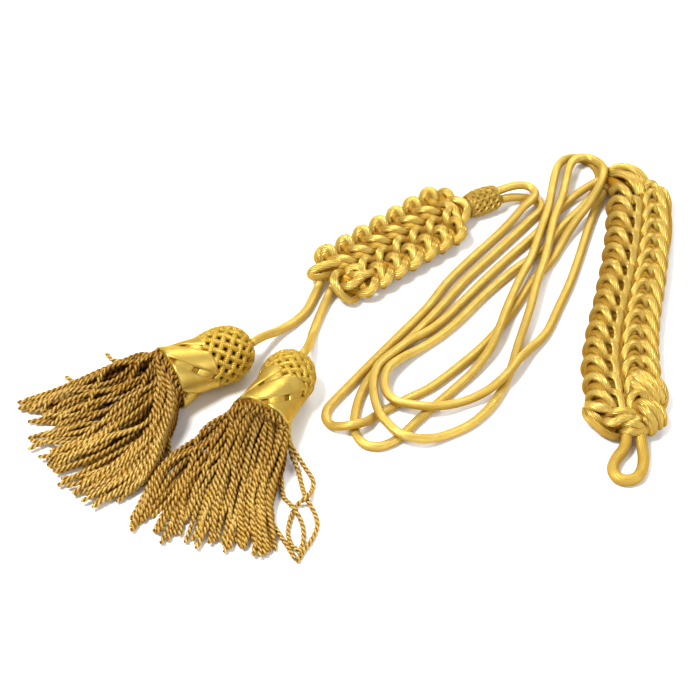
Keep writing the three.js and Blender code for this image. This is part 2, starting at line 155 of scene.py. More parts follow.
class Sweep:
    """Strands in layout millimetres, which become one object in metres.

    What would sink into the surface is pressed flat on it, as a soft collar is.
    """

    def __init__(self):
        self.places, self.corners, self.starts = [], [], []
        self.uvs, self.hollows, self.tones = [], [], []
        self.points = self.loops = 0

    def add(self, line, radius, section, hollow=0.0, tone=0.5, turns=None, frames=None, ends=0.3,
            groove=0.0):
        """Hollow is the shade along the strand, groove the shade round its section."""
        line = np.asarray(line, float)
        n, m = len(line), len(section)
        sides, ups = frames or carried_frames(line)
        radius = np.broadcast_to(np.asarray(radius, float), n).copy()
        radius[[0, -1]] *= ends
        turn = np.zeros(n) if turns is None else turns
        cos, sin = np.cos(turn)[:, None], np.sin(turn)[:, None]
        x = section[:, 0] * cos - section[:, 1] * sin
        y = section[:, 0] * sin + section[:, 1] * cos
        ring = x[..., None] * sides[:, None, :] + y[..., None] * ups[:, None, :]
        self.places.append((line[:, None, :] + ring * radius[:, None, None]).reshape(-1, 3))
        i, j = np.meshgrid(np.arange(n - 1), np.arange(m), indexing="ij")
        k = (j + 1) % m
        quads = np.stack([i * m + j, i * m + k, (i + 1) * m + k, (i + 1) * m + j], axis=-1)
        caps = np.concatenate([np.arange(m)[::-1], (n - 1) * m + np.arange(m)])
        self.corners.append(np.concatenate([quads.ravel(), caps]) + self.points)
        way = way_along(line)
        u = np.stack([way[i], way[i], way[i + 1], way[i + 1]], axis=-1)
        v = np.stack([j, j + 1, j + 1, j], axis=-1) / m
        uv = np.stack([u.ravel(), v.ravel()], axis=1)
        capped = np.stack([np.repeat([way[0], way[-1]], m), np.zeros(2 * m)], axis=1)
        self.uvs.append(np.vstack([uv, capped]))
        face_count = (n - 1) * m
        self.starts.append(self.loops + np.concatenate(
            [np.arange(face_count) * 4, face_count * 4 + np.array([0, m])]))
        shade_along = np.broadcast_to(np.asarray(hollow, float), n)[:, None]
        shade = shade_along + np.broadcast_to(groove, m)
        self.hollows.append(np.clip(shade, 0, 1).ravel())
        self.tones.append(np.full(n * m, tone))
        self.points += n * m
        self.loops += face_count * 4 + 2 * m

    def build(self, name):
        places = np.vstack(self.places)
        places[:, :2] += LAYOUT_SHIFT
        places[:, 2] = np.maximum(places[:, 2], PRESSED_FLAT)
        mesh = bpy.data.meshes.new(name)
        mesh.vertices.add(self.points)
        mesh.vertices.foreach_set("co", (places * MM).astype(np.float32).ravel())
        mesh.loops.add(self.loops)
        mesh.loops.foreach_set("vertex_index", np.concatenate(self.corners).astype(np.int32))
        starts = np.concatenate(self.starts).astype(np.int32)
        mesh.polygons.add(len(starts))
        mesh.polygons.foreach_set("loop_start", starts)
        mesh.polygons.foreach_set("use_smooth", np.ones(len(starts), bool))
        mesh.update(calc_edges=True)
        layer = mesh.uv_layers.new(name="thread")
        layer.data.foreach_set("uv", np.vstack(self.uvs).astype(np.float32).ravel())
        for title, values in (("hollow", self.hollows), ("tone", self.tones)):
            attribute = mesh.attributes.new(title, "FLOAT", "POINT")
            attribute.data.foreach_set("value", np.concatenate(values).astype(np.float32))
        mesh.validate()
        piece = bpy.data.objects.new(name, mesh)
        bpy.context.scene.collection.objects.link(piece)
        triangles = sum(len(p.vertices) - 2 for p in mesh.polygons)
        print(f"{name}: {len(self.places)} strands, {triangles} triangles")
        return piece


# %% [markdown]
# Gimp shows fine threads that run round the cord in a slow spiral, and a soft shine across them.
# The threads could be modelled, but at half a millimetre they would cost millions of faces. A
# node group works them out from the UV map instead and every material bumps its surface with it.

# %% Node group: the thread winding
def add_node(tree, kind, **settings):
    made = tree.nodes.new(kind)
    for name, value in settings.items():
        setattr(made, name, value)
    return made


def math_node(tree, operation, first, second=None, third=None):
    made = add_node(tree, "ShaderNodeMath", operation=operation)
    for socket, value in zip(made.inputs, (first, second, third)):
        if value is None:
            continue
        if isinstance(value, (int, float)):
            socket.default_value = value
        else:
            tree.links.new(value, socket)
    return made.outputs[0]


def new_group(name, inputs, outputs):
    group = bpy.data.node_groups.new(name, "ShaderNodeTree")
    for title, kind in inputs:
        group.interface.new_socket(title, in_out="INPUT", socket_type=kind)
    for title, kind in outputs:
        group.interface.new_socket(title, in_out="OUTPUT", socket_type=kind)
    return group, group.nodes.new("NodeGroupInput"), group.nodes.new("NodeGroupOutput")


winding, w_in, w_out = new_group(
    "Thread Winding",
    [("Thread", "NodeSocketVector"), ("Threads Round", "NodeSocketFloat"),
     ("Lead", "NodeSocketFloat")],
    [("Ridge", "NodeSocketFloat")],
)
split = add_node(winding, "ShaderNodeSeparateXYZ")
winding.links.new(w_in.outputs["Thread"], split.inputs[0])
along = math_node(winding, "DIVIDE", split.outputs["X"], w_in.outputs["Lead"])
phase = math_node(winding, "ADD", along, split.outputs["Y"])
waves = math_node(winding, "MULTIPLY", phase, w_in.outputs["Threads Round"])
swing = math_node(winding, "COSINE", math_node(winding, "MULTIPLY", waves, 2 * math.pi))
winding.links.new(math_node(winding, "MULTIPLY_ADD", swing, 0.5, 0.5), w_out.inputs["Ridge"])
print("node group:", winding.name)

# %% [markdown]
# Strands are painted darker where they lie deep between two others: that darkening is painted
# shade. The mesh carries a value named hollow, which is high where a strand dives under another,
# and a second node group mixes that painted shade with soft blotches of duller gold. An ambient
# occlusion node could do the same, but a value in the mesh costs nothing to render and is the same
# from every side.

# %% Node group: painted shade and blotches
BLOTCHES_A_METRE = 160
BLOTCH_STRENGTH = 0.9
BRIGHT_SHARE = 0.35
TONE_STRENGTH = 0.45
FURROW_STRENGTH = 0.2
tarnish_and_shade, t_in, t_out = new_group(
    "Tarnish And Shade",
    [("Place", "NodeSocketVector"), ("Hollow", "NodeSocketFloat"), ("Tone", "NodeSocketFloat"),
     ("Ridge", "NodeSocketFloat"), ("Bright", "NodeSocketColor"), ("Dull", "NodeSocketColor"),
     ("Deep", "NodeSocketColor")],
    [("Color", "NodeSocketColor"), ("Mask", "NodeSocketFloat")],
)
blotch = add_node(tarnish_and_shade, "ShaderNodeTexNoise")
blotch.inputs["Scale"].default_value = BLOTCHES_A_METRE
blotch.inputs["Detail"].default_value = 3
tarnish_and_shade.links.new(t_in.outputs["Place"], blotch.inputs["Vector"])
spots = math_node(tarnish_and_shade, "MULTIPLY_ADD", blotch.outputs["Fac"], BLOTCH_STRENGTH, -BRIGHT_SHARE)
toned = math_node(tarnish_and_shade, "MULTIPLY_ADD", t_in.outputs["Tone"], TONE_STRENGTH, spots)
furrow = math_node(tarnish_and_shade, "MULTIPLY_ADD", t_in.outputs["Ridge"], -FURROW_STRENGTH,
                   FURROW_STRENGTH)
shade = math_node(tarnish_and_shade, "ADD", toned, furrow)
shade.node.use_clamp = True
dulled = add_node(tarnish_and_shade, "ShaderNodeMix", data_type="RGBA")
tarnish_and_shade.links.new(shade, dulled.inputs["Factor"])
tarnish_and_shade.links.new(t_in.outputs["Bright"], dulled.inputs["A"])
tarnish_and_shade.links.new(t_in.outputs["Dull"], dulled.inputs["B"])
# painted shade: the Hollow value mixes the colour towards the Deep colour
deepened = add_node(tarnish_and_shade, "ShaderNodeMix", data_type="RGBA")
tarnish_and_shade.links.new(t_in.outputs["Hollow"], deepened.inputs["Factor"])
tarnish_and_shade.links.new(dulled.outputs["Result"], deepened.inputs["A"])
tarnish_and_shade.links.new(t_in.outputs["Deep"], deepened.inputs["B"])
tarnish_and_shade.links.new(deepened.outputs["Result"], t_out.inputs["Color"])
mask = math_node(tarnish_and_shade, "ADD", shade, t_in.outputs["Hollow"])
mask.node.use_clamp = True
tarnish_and_shade.links.new(mask, t_out.inputs["Mask"])
print("node group:", tarnish_and_shade.name)

# %% [markdown]
# Every thread on the piece is the same metal, so every finish is one recipe with its own
# numbers: how many threads go round, how steeply, how deep they feel, and three colours from
# the bright thread to the deepest shade.

# %% One recipe for all the gold threads
def gold_thread(name, bright, dull, deep, threads, lead, relief, roughness, metallic=0.65,
                edge=(1, 0.74, 0.25)):
    material = bpy.data.materials.new(name)
    material.use_nodes = True
    tree = material.node_tree
    shader = tree.nodes["Principled BSDF"]
    shader.inputs["Metallic"].default_value = metallic
    shader.inputs["Specular Tint"].default_value = (*edge, 1)
    shader.inputs["Specular IOR Level"].default_value = 0.1
    thread = add_node(tree, "ShaderNodeUVMap", uv_map="thread")
    place = add_node(tree, "ShaderNodeTexCoord")
    hollow = add_node(tree, "ShaderNodeAttribute", attribute_name="hollow")
    tone = add_node(tree, "ShaderNodeAttribute", attribute_name="tone")
    wound = add_node(tree, "ShaderNodeGroup", node_tree=winding)
    wound.inputs["Threads Round"].default_value = threads
    wound.inputs["Lead"].default_value = lead
    tree.links.new(thread.outputs["UV"], wound.inputs["Thread"])
    # this group paints shade where the hollow value is high, over blotches of duller gold
    aged_and_shaded = add_node(tree, "ShaderNodeGroup", node_tree=tarnish_and_shade)
    for title, colour in (("Bright", bright), ("Dull", dull), ("Deep", deep)):
        aged_and_shaded.inputs[title].default_value = (*colour, 1)
    tree.links.new(place.outputs["Object"], aged_and_shaded.inputs["Place"])
    tree.links.new(hollow.outputs["Fac"], aged_and_shaded.inputs["Hollow"])
    tree.links.new(tone.outputs["Fac"], aged_and_shaded.inputs["Tone"])
    tree.links.new(wound.outputs["Ridge"], aged_and_shaded.inputs["Ridge"])
    tree.links.new(aged_and_shaded.outputs["Color"], shader.inputs["Base Color"])
    rough = add_node(tree, "ShaderNodeMapRange")
    rough.inputs["To Min"].default_value = roughness
    rough.inputs["To Max"].default_value = min(1.0, roughness + 0.25)
    tree.links.new(aged_and_shaded.outputs["Mask"], rough.inputs["Value"])
    tree.links.new(rough.outputs["Result"], shader.inputs["Roughness"])
    bump = add_node(tree, "ShaderNodeBump")
    bump.inputs["Distance"].default_value = relief * MM
    bump.inputs["Strength"].default_value = 0.8
    tree.links.new(wound.outputs["Ridge"], bump.inputs["Height"])
    tree.links.new(bump.outputs["Normal"], shader.inputs["Normal"])
    return material


# %% Gold colours, and the finishes of the cord and the plaits
# The third and fourth colours are painted shade: the plaits' shade between strands, and the cords'
# shade on their lower sides.
PALE_GOLD = (0.66, 0.475, 0.13)
WARM_GOLD = (0.46, 0.28, 0.025)
BROWN_GOLD = (0.31, 0.14, 0.006)
CORD_SHADE_GOLD = (0.36, 0.205, 0.02)

cord_gold = gold_thread("gimp cord gold", PALE_GOLD, WARM_GOLD, CORD_SHADE_GOLD,
                        threads=18, lead=75, relief=0.16, roughness=0.3)
plait_gold = gold_thread("plaited gimp gold", PALE_GOLD, WARM_GOLD, BROWN_GOLD,
                         threads=15, lead=55, relief=0.32, roughness=0.27, metallic=0.72)
print("materials:", cord_gold.name, "and", plait_gold.name)

# %% What every finished piece is given
def finish_piece(piece, material, node):
    """A piece rides on the root body and takes the place of one solid of the frame."""
    piece.data.materials.append(material)
    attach(piece, "root")
    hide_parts(node)
    return piece


# %% [markdown]
# The plain cord is limp and heavy for its size, so it lies flat and only rises where it crosses
# itself. Its two strands run side by side from the slider to the long plait, in the loops that the
# photograph shows. Each route is a list of places with the layer the cord lies in, the same points
# as in the part's source, and its length is printed.

# %% Routes of the free cords: x, y in the layout's millimetres, and the layer
CORD_D = 5
FLOOR_GAP = 0.1
CLEARANCE = 0.3
LONG_CORD_A = [
    [86.5, 117.2, 1.31], [95, 121, 1.35], [102, 122.5, 1.3], [107, 120.5, 1.2], [109, 116, 1.1],
    [106.5, 111.5, 1], [101.5, 106.5, 0.8], [95, 99, 0.3], [87.5, 90, 0], [71, 70, 0],
    [55.5, 50, 0], [43.5, 30, 0], [28.5, 10, 0], [13.2, -10, 0], [2, -25, 0], [-9, -40, 0],
    [-12.5, -46, 0], [-13, -52, 0], [-10, -57, 0.1], [-4.5, -60, 0.6], [2.5, -60.5, 1],
    [8, -57, 0.6], [13, -51, 0.05], [20, -45.5, 0], [31, -38, 0], [43.5, -30, 0], [64, -10, 0],
    [73, 0, 0], [84, 15, 0], [95.5, 35, 0], [103, 49, 0], [116, 67, 0], [121.5, 78, 0.05],
    [127, 88.5, 0.35], [132.5, 96.6, 0.8], [138.5, 104.7, 1.2], [143.5, 112.5, 1.7],
    [147, 119.5, 2], [149, 125, 2.1], [150.3, 131, 2], [150.3, 136.5, 1.6], [148.3, 142.5, 1.2],
    [144.5, 147, 1], [139.5, 148.5, 1], [134.5, 146, 1], [131.3, 141, 1], [129.5, 135, 1],
    [125, 115, 1], [118.7, 95, 1], [112, 65, 1], [106, 45, 1], [101, 25, 1], [95.5, 7, 0.7],
    [92.5, -2, 0.3], [88.5, -16, 0], [82.5, -32, 0], [75, -45, 0], [64, -56.5, 0],
    [50, -64.5, 0.1], [43, -67.7, 0.45], [36, -69.3, 0.8], [30, -68.3, 1], [24.5, -65, 1],
    [20.5, -60, 1], [17, -55, 1], [14.5, -48, 1], [13, -39.8, 1], [12.8, -29.8, 1],
    [15, -19.8, 1], [18.5, -14.5, 1], [24, -8.7, 1], [33.5, 1, 0.85], [42.5, 9, 0.4],
    [52, 20, 0], [60, 30, 0], [75.5, 50, 0], [92, 70, 0], [108, 88.5, 0], [124, 110, 0],
    [132.5, 119, 0.2], [138, 122.5, 0.6], [145, 126, 1], [147.5, 127.6, 1], [150.1, 129, 1],
]
LONG_CORD_B = [
    [88.3, 113.8, 0.63], [95, 116.5, 0.5], [102, 118, 0.15], [107.5, 117.8, 0], [111.5, 115, 0],
    [112.5, 110.5, 0], [110, 105.5, 0], [105.3, 100, 0], [97.5, 90, 0], [81, 70, 0],
    [64.7, 50, 0], [51, 30, 0], [36.3, 10, 0], [28.5, 0, 0], [19.8, -10, 0], [12.6, -20, 0],
    [7.5, -30, 0], [4.3, -40, 0], [2.2, -55, 0], [3.5, -63.5, 0], [7.5, -69.5, 0],
    [14.5, -71.5, 0], [21.5, -69, 0], [27, -64.5, 0], [36, -53.5, 0], [47, -41.5, 0],
    [57.5, -30, 0], [66, -20.5, 0.1], [73, -11, 0.35], [78, -3, 0.65], [81.3, 5, 0.9],
    [84.8, 15, 1], [88, 25, 1], [95.5, 45, 1], [104, 65, 1], [110, 85, 1], [116, 105, 1],
    [120, 125, 1], [122.5, 136, 1], [125.5, 144, 0.8], [130, 150.5, 0.35], [136.5, 153.5, 0],
    [142.5, 151, 0], [147, 145, 0], [148.7, 137, 0], [147.5, 129.5, 0], [144, 122, 0],
    [140, 115.5, 0], [135.8, 109.5, 0], [127, 99, 0], [120.5, 90, 0], [115, 80, 0],
    [105, 69.5, 0], [94, 59.5, 0], [76.5, 40, 0], [61, 20, 0], [51, 9, 0], [39.5, -1, 0.1],
    [32, -7.5, 0.4], [26, -14, 0.8], [21.5, -19.5, 1], [19, -26, 1], [18.8, -34.5, 1],
    [21, -40, 1], [25, -43.8, 1], [31, -46, 1], [42, -47.8, 1], [50, -46.5, 0.8],
    [58, -43, 0.45], [66, -39.5, 0.4], [75, -35, 0.75], [81, -30, 1], [86, -24, 1],
    [91.5, -15.5, 1], [98, -5, 0.45], [109, 10, 0], [117.5, 30, 0], [125.5, 50, 0],
    [132, 70, 0], [138, 90, 0], [143.5, 107, 0], [147.3, 115.5, 0.1], [148.6, 118.2, 0.4],
    [150.3, 121, 0.7],
]
TASSEL_CORD_LEFT = [
    [-16.2, 48, 0.5], [-18.5, 44, 0.15], [-21, 37, 0.02], [-24.5, 28, 0.02], [-31, 19, 0.06],
    [-40, 10, 0.45], [-48, 0.5, 1.5], [-54.3, -8.8, 2.37],
]
TASSEL_CORD_RIGHT = [
    [-10.6, 41.1, 0.5], [-12.8, 36.5, 0.15], [-15.5, 29, 0.02], [-18.5, 19, 0.02], [-21, 9, 0.12],
    [-22.5, -2, 0.9], [-25, -13, 1.9], [-27.2, -19.3, 2.2],
]


def cord_line(route):
    return [(x, y, FLOOR_GAP + CORD_D / 2 + layer * (CORD_D + CLEARANCE)) for x, y, layer in route]


# %% Free cords
CORD_SIDES = 16
CORD_STEP = 1.6
cord_section = round_section(CORD_SIDES)
# painted shade on each cord's lower side, towards the surface
cord_shade = underside_shade(CORD_SIDES, 0.8)


def lay_cord(name, route):
    line = even_line(smooth_line(cord_line(route)), CORD_STEP)
    cord = Sweep()
    cord.add(line, CORD_D / 2, cord_section, tone=0.3, ends=0.9, groove=cord_shade)
    piece = finish_piece(cord.build(f"{name}_gimp"), cord_gold, name)
    path = line.copy()
    path[:, :2] += LAYOUT_SHIFT
    path *= MM
    length = float(way_along(path)[-1])
    print(f"  {name} is {length:.3f} m long")


lay_cord("long_cord_a", LONG_CORD_A)
lay_cord("long_cord_b", LONG_CORD_B)
lay_cord("tassel_cord_left", TASSEL_CORD_LEFT)
lay_cord("tassel_cord_right", TASSEL_CORD_RIGHT)

# %% [markdown]
# Two cords leave the short plait's end and run through the slider, a small woven barrel that
# draws the loops together. They could be one drawn-out loop, but in the slider they lie one above
# and behind the other, so each gets its own short line that bends into it.

# %% Places of the slider and the short plait
SLIDER_CENTRE = (77.5, 110.5)
SLIDER_ANGLE = math.radians(27)
SLIDER_LENGTH = 19
SLIDER_D = 15.5
SLIDER_END_D = 13.6
SLIDER_HEIGHT = FLOOR_GAP + SLIDER_D / 2
SHORT_CENTRE = (24, 75)
SHORT_ANGLE = math.radians(39)
SHORT_LENGTH = 94
SHORT_HEIGHT = 15


def turned(centre, angle, along, beside, height):
    """Places in a piece that lies turned; each measure is one value, or one for each place."""
    x = centre[0] + along * math.cos(angle) - beside * math.sin(angle)
    y = centre[1] + along * math.sin(angle) + beside * math.cos(angle)
    return np.stack(np.broadcast_arrays(x, y, height), axis=-1)


print("slider", SLIDER_LENGTH, "mm long, short plait", SHORT_LENGTH, "mm long")

# %% Cords in the slider
PAIR_APART = (CORD_D + CLEARANCE) / 2
PAIR_TILT = math.radians(43)
PAIR_BESIDE = 4
PAST_SLIDER = 0.8
BEFORE_SLIDER = 2.5
BEFORE_PLAIT = 1.2
INSIDE_PLAIT = 3
PAIR_STEP = 1.2
half, face = SLIDER_LENGTH / 2, SHORT_LENGTH / 2
for name, sign in (("upper", 1), ("lower", -1)):
    beside = sign * PAIR_APART * math.cos(PAIR_TILT)
    height = SLIDER_HEIGHT + sign * PAIR_APART * math.sin(PAIR_TILT)
    route = [turned(SLIDER_CENTRE, SLIDER_ANGLE, along, beside, height)
             for along in (half + PAST_SLIDER, 0, -half - BEFORE_SLIDER)]
    route += [turned(SHORT_CENTRE, SHORT_ANGLE, along, sign * PAIR_BESIDE, height)
              for along in (face + BEFORE_PLAIT, face - INSIDE_PLAIT)]
    cord = Sweep()
    cord.add(even_line(smooth_line(route), PAIR_STEP), CORD_D / 2, cord_section, tone=0.35,
             groove=cord_shade)
    finish_piece(cord.build(f"slider_cord_{name}_gimp"), cord_gold,
                 f"slider_cord_{name}")

# %% [markdown]
# The slider and the tassels' heads are covered in net: one set of threads spirals to the left,
# one to the right, and they pass over and under each other. A bump pattern would look flat at
# the edge of the dome, so the threads are real strands that rise and sink at each crossing.

# %% A net of crossing strands round a body of revolution
NET_CROSSINGS = 8
NET_SIDES = 7
SUNK_SHADE = 0.15


def net_strands(sweep, spot, reach, count, thickness, weave, tone, points):
    """spot(share, turn, lift) gives a place on the body; reach is the two shares to span."""
    crossing = np.linspace(0, NET_CROSSINGS, points)
    share = reach[0] + (reach[1] - reach[0]) * crossing / NET_CROSSINGS
    for sign in (1, -1):
        lift = sign * weave * np.cos(np.pi * crossing)
        hollow = SUNK_SHADE * (1 - lift / weave)
        for i in range(count):
            turn = 2 * np.pi * i / count + sign * crossing * np.pi / count
            sweep.add(spot(share, turn, lift), thickness / 2, round_section(NET_SIDES),
                      hollow=hollow, tone=tone)


# %% Slider knot
SLIDER_NET_INSET = 0.8
SLIDER_STRANDS = 11
RIM_D = 1.6
LINING_RINGS = 15
LINING_DEPTH = 0.75
LINING_D = 1.7
ring_turns = np.linspace(0, 2 * np.pi, 33)


def slider_spot(share, turn, lift):
    along = (share - 0.5) * SLIDER_LENGTH
    barrel = np.interp(np.abs(along), [0, SLIDER_LENGTH / 6, SLIDER_LENGTH / 2],
                       [SLIDER_D / 2, SLIDER_D / 2, SLIDER_END_D / 2])
    radius = barrel - SLIDER_NET_INSET + lift
    return turned(SLIDER_CENTRE, SLIDER_ANGLE, along, radius * np.cos(turn),
                  SLIDER_HEIGHT + radius * np.sin(turn))


slider = Sweep()
net_strands(slider, slider_spot, (0.03, 0.97), SLIDER_STRANDS, thickness=2, weave=0.3, tone=0.4,
            points=33)
for share in (0.02, 0.98):
    rim = slider_spot(share, ring_turns, 0)
    slider.add(rim, RIM_D / 2, round_section(8), tone=0.6, ends=1)
# rings just under the net, painted in shade
for share in np.linspace(0.06, 0.94, LINING_RINGS):
    lining = slider_spot(share, ring_turns, -LINING_DEPTH)
    slider.add(lining, LINING_D / 2, round_section(6), hollow=0.9, tone=0.9, ends=1)
finish_piece(slider.build("slider_woven"), plait_gold, "slider_knot")

# %% [markdown]
# The button loop is the same cord wound thicker, bent to a drop and sewn under the plait's end.

# %% Button loop
LOOP_D = 6.3
LOOP_SIDES = 20
BUTTON_LOOP_LINE = [
    [148, -65.5, 3], [145.8, -73.5, 1], [141, -80.5, 0.1], [138.5, -87.5, 0], [140.3, -92.8, 0],
    [145.5, -95, 0], [151, -92.6, 0], [154.3, -86.5, 0], [155.5, -79, 0.1], [155.2, -72, 1],
    [154.8, -65.5, 3],
]
loop = Sweep()
loop_line = [(x, y, FLOOR_GAP + LOOP_D / 2 + lift) for x, y, lift in BUTTON_LOOP_LINE]
loop_line = even_line(smooth_line(loop_line), PAIR_STEP)
# painted shade: hollow darkens the whole loop a little, and groove its lower side more
loop.add(loop_line, LOOP_D / 2, round_section(LOOP_SIDES), tone=0.5, hollow=0.4, ends=0.9,
         groove=underside_shade(LOOP_SIDES, 0.6))
finish_piece(loop.build("button_loop_gimp"), cord_gold, "button_loop")

# %% [markdown]
# The long plait is a flat four-column braid: each row shows a slanted strand at the left edge, a
# hooked one beside the groove, an arched one on the groove's other side and a strand that turns
# down into the right edge. One row is written as four short routes across the plait and three more
# in the shade under them, and a loop repeats them along its bent middle line. Where a route goes
# low, the strand is painted in shade.

# %% The long plait's places
LONG_HALF_WIDTH = 22.5
LONG_HEIGHT = 17
LONG_ROWS = 17
STRAND_MARGIN = 2.6
SOLE_GAP = 0.2
LONG_LINE = [
    (163, 137, 0.56), (167.5, 121, 0.8), (168, 102, 0.84), (166, 80, 0.86), (162, 55, 0.87),
    (156.5, 29, 0.88), (151.5, 5, 0.93), (148.5, -18, 0.99), (148, -42, 0.97), (148, -66, 0.64),
]
GROOVE_SHIFT = (0.2, 0.18, 0.1, 0.04, 0, -0.05, -0.07, -0.04, 0)
spine = even_line(smooth_line([(x, y, 0) for x, y, _ in LONG_LINE]), 1.0)
spine_way = way_along(spine) / way_along(spine)[-1]
spine_along = unit(np.gradient(spine, axis=0))
spine_widths = np.interp(spine_way, np.linspace(0, 1, len(LONG_LINE)), [w for _, _, w in LONG_LINE])


def along_spine(share, values):
    return np.stack([np.interp(share, spine_way, values[:, k]) for k in range(3)], axis=1)


def strand_height(share, plait_height):
    """The height of a strand's middle line: share 0 lies on the surface, 1 tops the plait."""
    return STRAND_MARGIN + SOLE_GAP + share * (plait_height - 2 * STRAND_MARGIN - SOLE_GAP)


def long_place(across, row, up):
    """Across runs from -1 at the left edge past 0 in the groove to 1 at the right edge."""
    share = np.clip(np.asarray(row, float) / LONG_ROWS, 0, 1)
    groove = np.interp(share, np.linspace(0, 1, len(GROOVE_SHIFT)), GROOVE_SHIFT)
    across = across + groove * (1 - np.minimum(np.abs(across), 1) ** 2)
    half = LONG_HALF_WIDTH * np.interp(share, spine_way, spine_widths) - STRAND_MARGIN
    along = along_spine(share, spine_along)
    beside = np.stack([-along[:, 1], along[:, 0], np.zeros(len(share))], axis=1)
    at = along_spine(share, spine) + beside * (across * half)[:, None]
    at[:, 2] = strand_height(np.asarray(up), LONG_HEIGHT)
    return at


print(f"long plait: {LONG_ROWS} rows, middle line {way_along(spine)[-1]:.0f} mm")

# %% One row of the long plait: across (-1 left edge, 1 right edge), rows ahead, height share
LEFT_EDGE = [(-0.66, 0.8, 0.0), (-0.94, 0.56, 0.12), (-1.04, 0.32, 0.3), (-1.01, 0.13, 0.52),
             (-0.88, 0.06, 0.84), (-0.66, 0.33, 1.06), (-0.46, 0.76, 0.92), (-0.34, 1.1, 0.5)]
LEFT_UNDER = [(-0.98, 0.62, 0.3), (-0.9, 0.52, 0.62), (-0.72, 0.6, 0.8), (-0.52, 0.9, 0.78),
              (-0.4, 1.15, 0.55)]
LEFT_HOOK = [(-0.46, -0.15, 0.4), (-0.38, -0.02, 0.8), (-0.25, 0.12, 0.98), (-0.14, 0.38, 0.96),
             (-0.12, 0.75, 0.86), (-0.12, 1.1, 0.7), (-0.13, 1.35, 0.4)]
RIGHT_ARCH = [(0.1, 1.2, 0.35), (0.11, 0.85, 0.66), (0.16, 0.5, 0.88), (0.27, 0.22, 1.0),
              (0.42, 0.12, 1.0), (0.56, 0.27, 0.86), (0.62, 0.55, 0.5)]
RIGHT_EDGE = [(0.5, -0.2, 0.5), (0.56, -0.06, 0.86), (0.67, 0.12, 1.0), (0.8, 0.42, 0.94),
              (0.89, 0.78, 0.76), (0.98, 1.15, 0.5), (1.0, 1.45, 0.28), (0.85, 1.7, 0.02)]
RIGHT_INNER = [(0.2, 1.1, 0.5), (0.27, 0.78, 0.72), (0.38, 0.58, 0.8), (0.5, 0.66, 0.74),
               (0.56, 0.95, 0.5)]
RIGHT_UNDER = [(0.62, 0.5, 0.55), (0.72, 0.62, 0.76), (0.86, 0.9, 0.72), (0.98, 1.25, 0.42),
               (1.0, 1.55, 0.15)]
print("places: left edge", len(LEFT_EDGE), "hook", len(LEFT_HOOK), "arch", len(RIGHT_ARCH))

# %% A plaited strand
STRAND_STEP = 0.9
DEEPEST_SHADE = 0.9
strand_section = round_section(10)
tail_section = round_section(14)


def shade_of(heights, low, high):
    return np.clip((high - heights) / (high - low), 0, 1)


def dive_line(points):
    return even_line(smooth_line(points), STRAND_STEP)


def plait_strand(sweep, line, radius, low, high, tone, taper=0.25):
    """A strand that grows thin and is painted in shade where it dives, from the height high down to
    low.

    Taper is how much thinner it is at its two ends.
    """
    hollow = shade_of(line[:, 2], low, high) * DEEPEST_SHADE
    middle = np.sin(np.pi * np.linspace(0, 1, len(line))) ** 0.6
    swell = (1 - 0.2 * hollow) * (1 - taper + taper * middle)
    sweep.add(line, radius * swell, strand_section, hollow=hollow, tone=tone, ends=0.5)


# %% The long plait's rows
IN_SHADE = {"low": 4, "high": 22, "tone": 0.95}
FIRST_LEFT_ROW = 3
FIRST_RIGHT_ROW = 2
EVEN_ROW = 7
TOP_ROW_STRETCH = 1.13
GROOVE_HEIGHT = 0.72
GROOVE_D = 3.6
tones = random.Random(7)
long_plait = Sweep()


def long_row(table, row, radius, low=3.5, high=11.5, tone=0.35):
    across, ahead, up = np.array(table).T
    line = dive_line(long_place(across, row + ahead, up))
    tone += tones.uniform(-0.15, 0.15)
    plait_strand(long_plait, line, radius, low, high, tone)


for k in range(FIRST_LEFT_ROW, LONG_ROWS - 1):
    row = k if k > EVEN_ROW else EVEN_ROW - (EVEN_ROW - k) * TOP_ROW_STRETCH
    long_row(LEFT_EDGE, row, radius=2.4, low=4.5, high=14)
    long_row(LEFT_UNDER, row, radius=2.2, **IN_SHADE)
    long_row(LEFT_HOOK, row, radius=2.1)
for k in range(FIRST_RIGHT_ROW, LONG_ROWS - 1):
    long_row(RIGHT_ARCH, k, radius=2.1)
    long_row(RIGHT_INNER, k, radius=1.9, **IN_SHADE)
    if k < LONG_ROWS - 3:
        long_row(RIGHT_EDGE, k, radius=2.35)
        long_row(RIGHT_UNDER, k, radius=2.2, **IN_SHADE)
groove_rows = np.linspace(1.6, LONG_ROWS - 2.2, 170)
groove_line = long_place(0, groove_rows, GROOVE_HEIGHT)
long_plait.add(groove_line, GROOVE_D / 2, strand_section, hollow=0.6, tone=1.0)
print("strands in the rows:", len(long_plait.places))

# %% [markdown]
# At its top the cords run into the plait under a few wide turns, and at its foot the last bights
# grow large round the knot that holds the button loop. These strands follow no rule, so each is
# a short route of its own.

# %% Turns at the long plait's ends: x, y and height in the layout's millimetres
TOP_TURNS = [
    [(151, 133, 6), (155, 135, 10), (161, 136, 11.5), (169, 132.5, 12), (174, 124, 12),
     (174, 117, 9)],
    [(151.5, 131, 6.5), (157, 129.5, 12), (163, 125, 14.5), (167, 118, 14.5), (169.5, 111, 11)],
    [(159, 132, 9), (165, 125.5, 14), (170, 118.5, 14.5), (171.5, 111, 11)],
    [(155, 118, 5), (154.5, 118.5, 9), (158, 117.5, 13), (162, 111, 14), (165.5, 104, 10)],
    [(172.5, 112, 9), (174, 118.5, 13), (177.5, 120, 13), (180, 116.5, 11), (181, 110, 7)],
    [(178.5, 112, 8), (180.5, 116.5, 11.5), (184, 115.5, 11), (186.3, 110, 8.5), (186, 99, 3.5)],
    [(153, 130, 3.5), (161, 133, 6), (170, 130, 6.5), (177, 123, 6), (182, 115, 5)],
    [(186.2, 109, 5), (186.2, 100, 4.5), (185.5, 91.5, 4.5), (184.2, 82.6, 4.5), (182.5, 74, 4)],
]
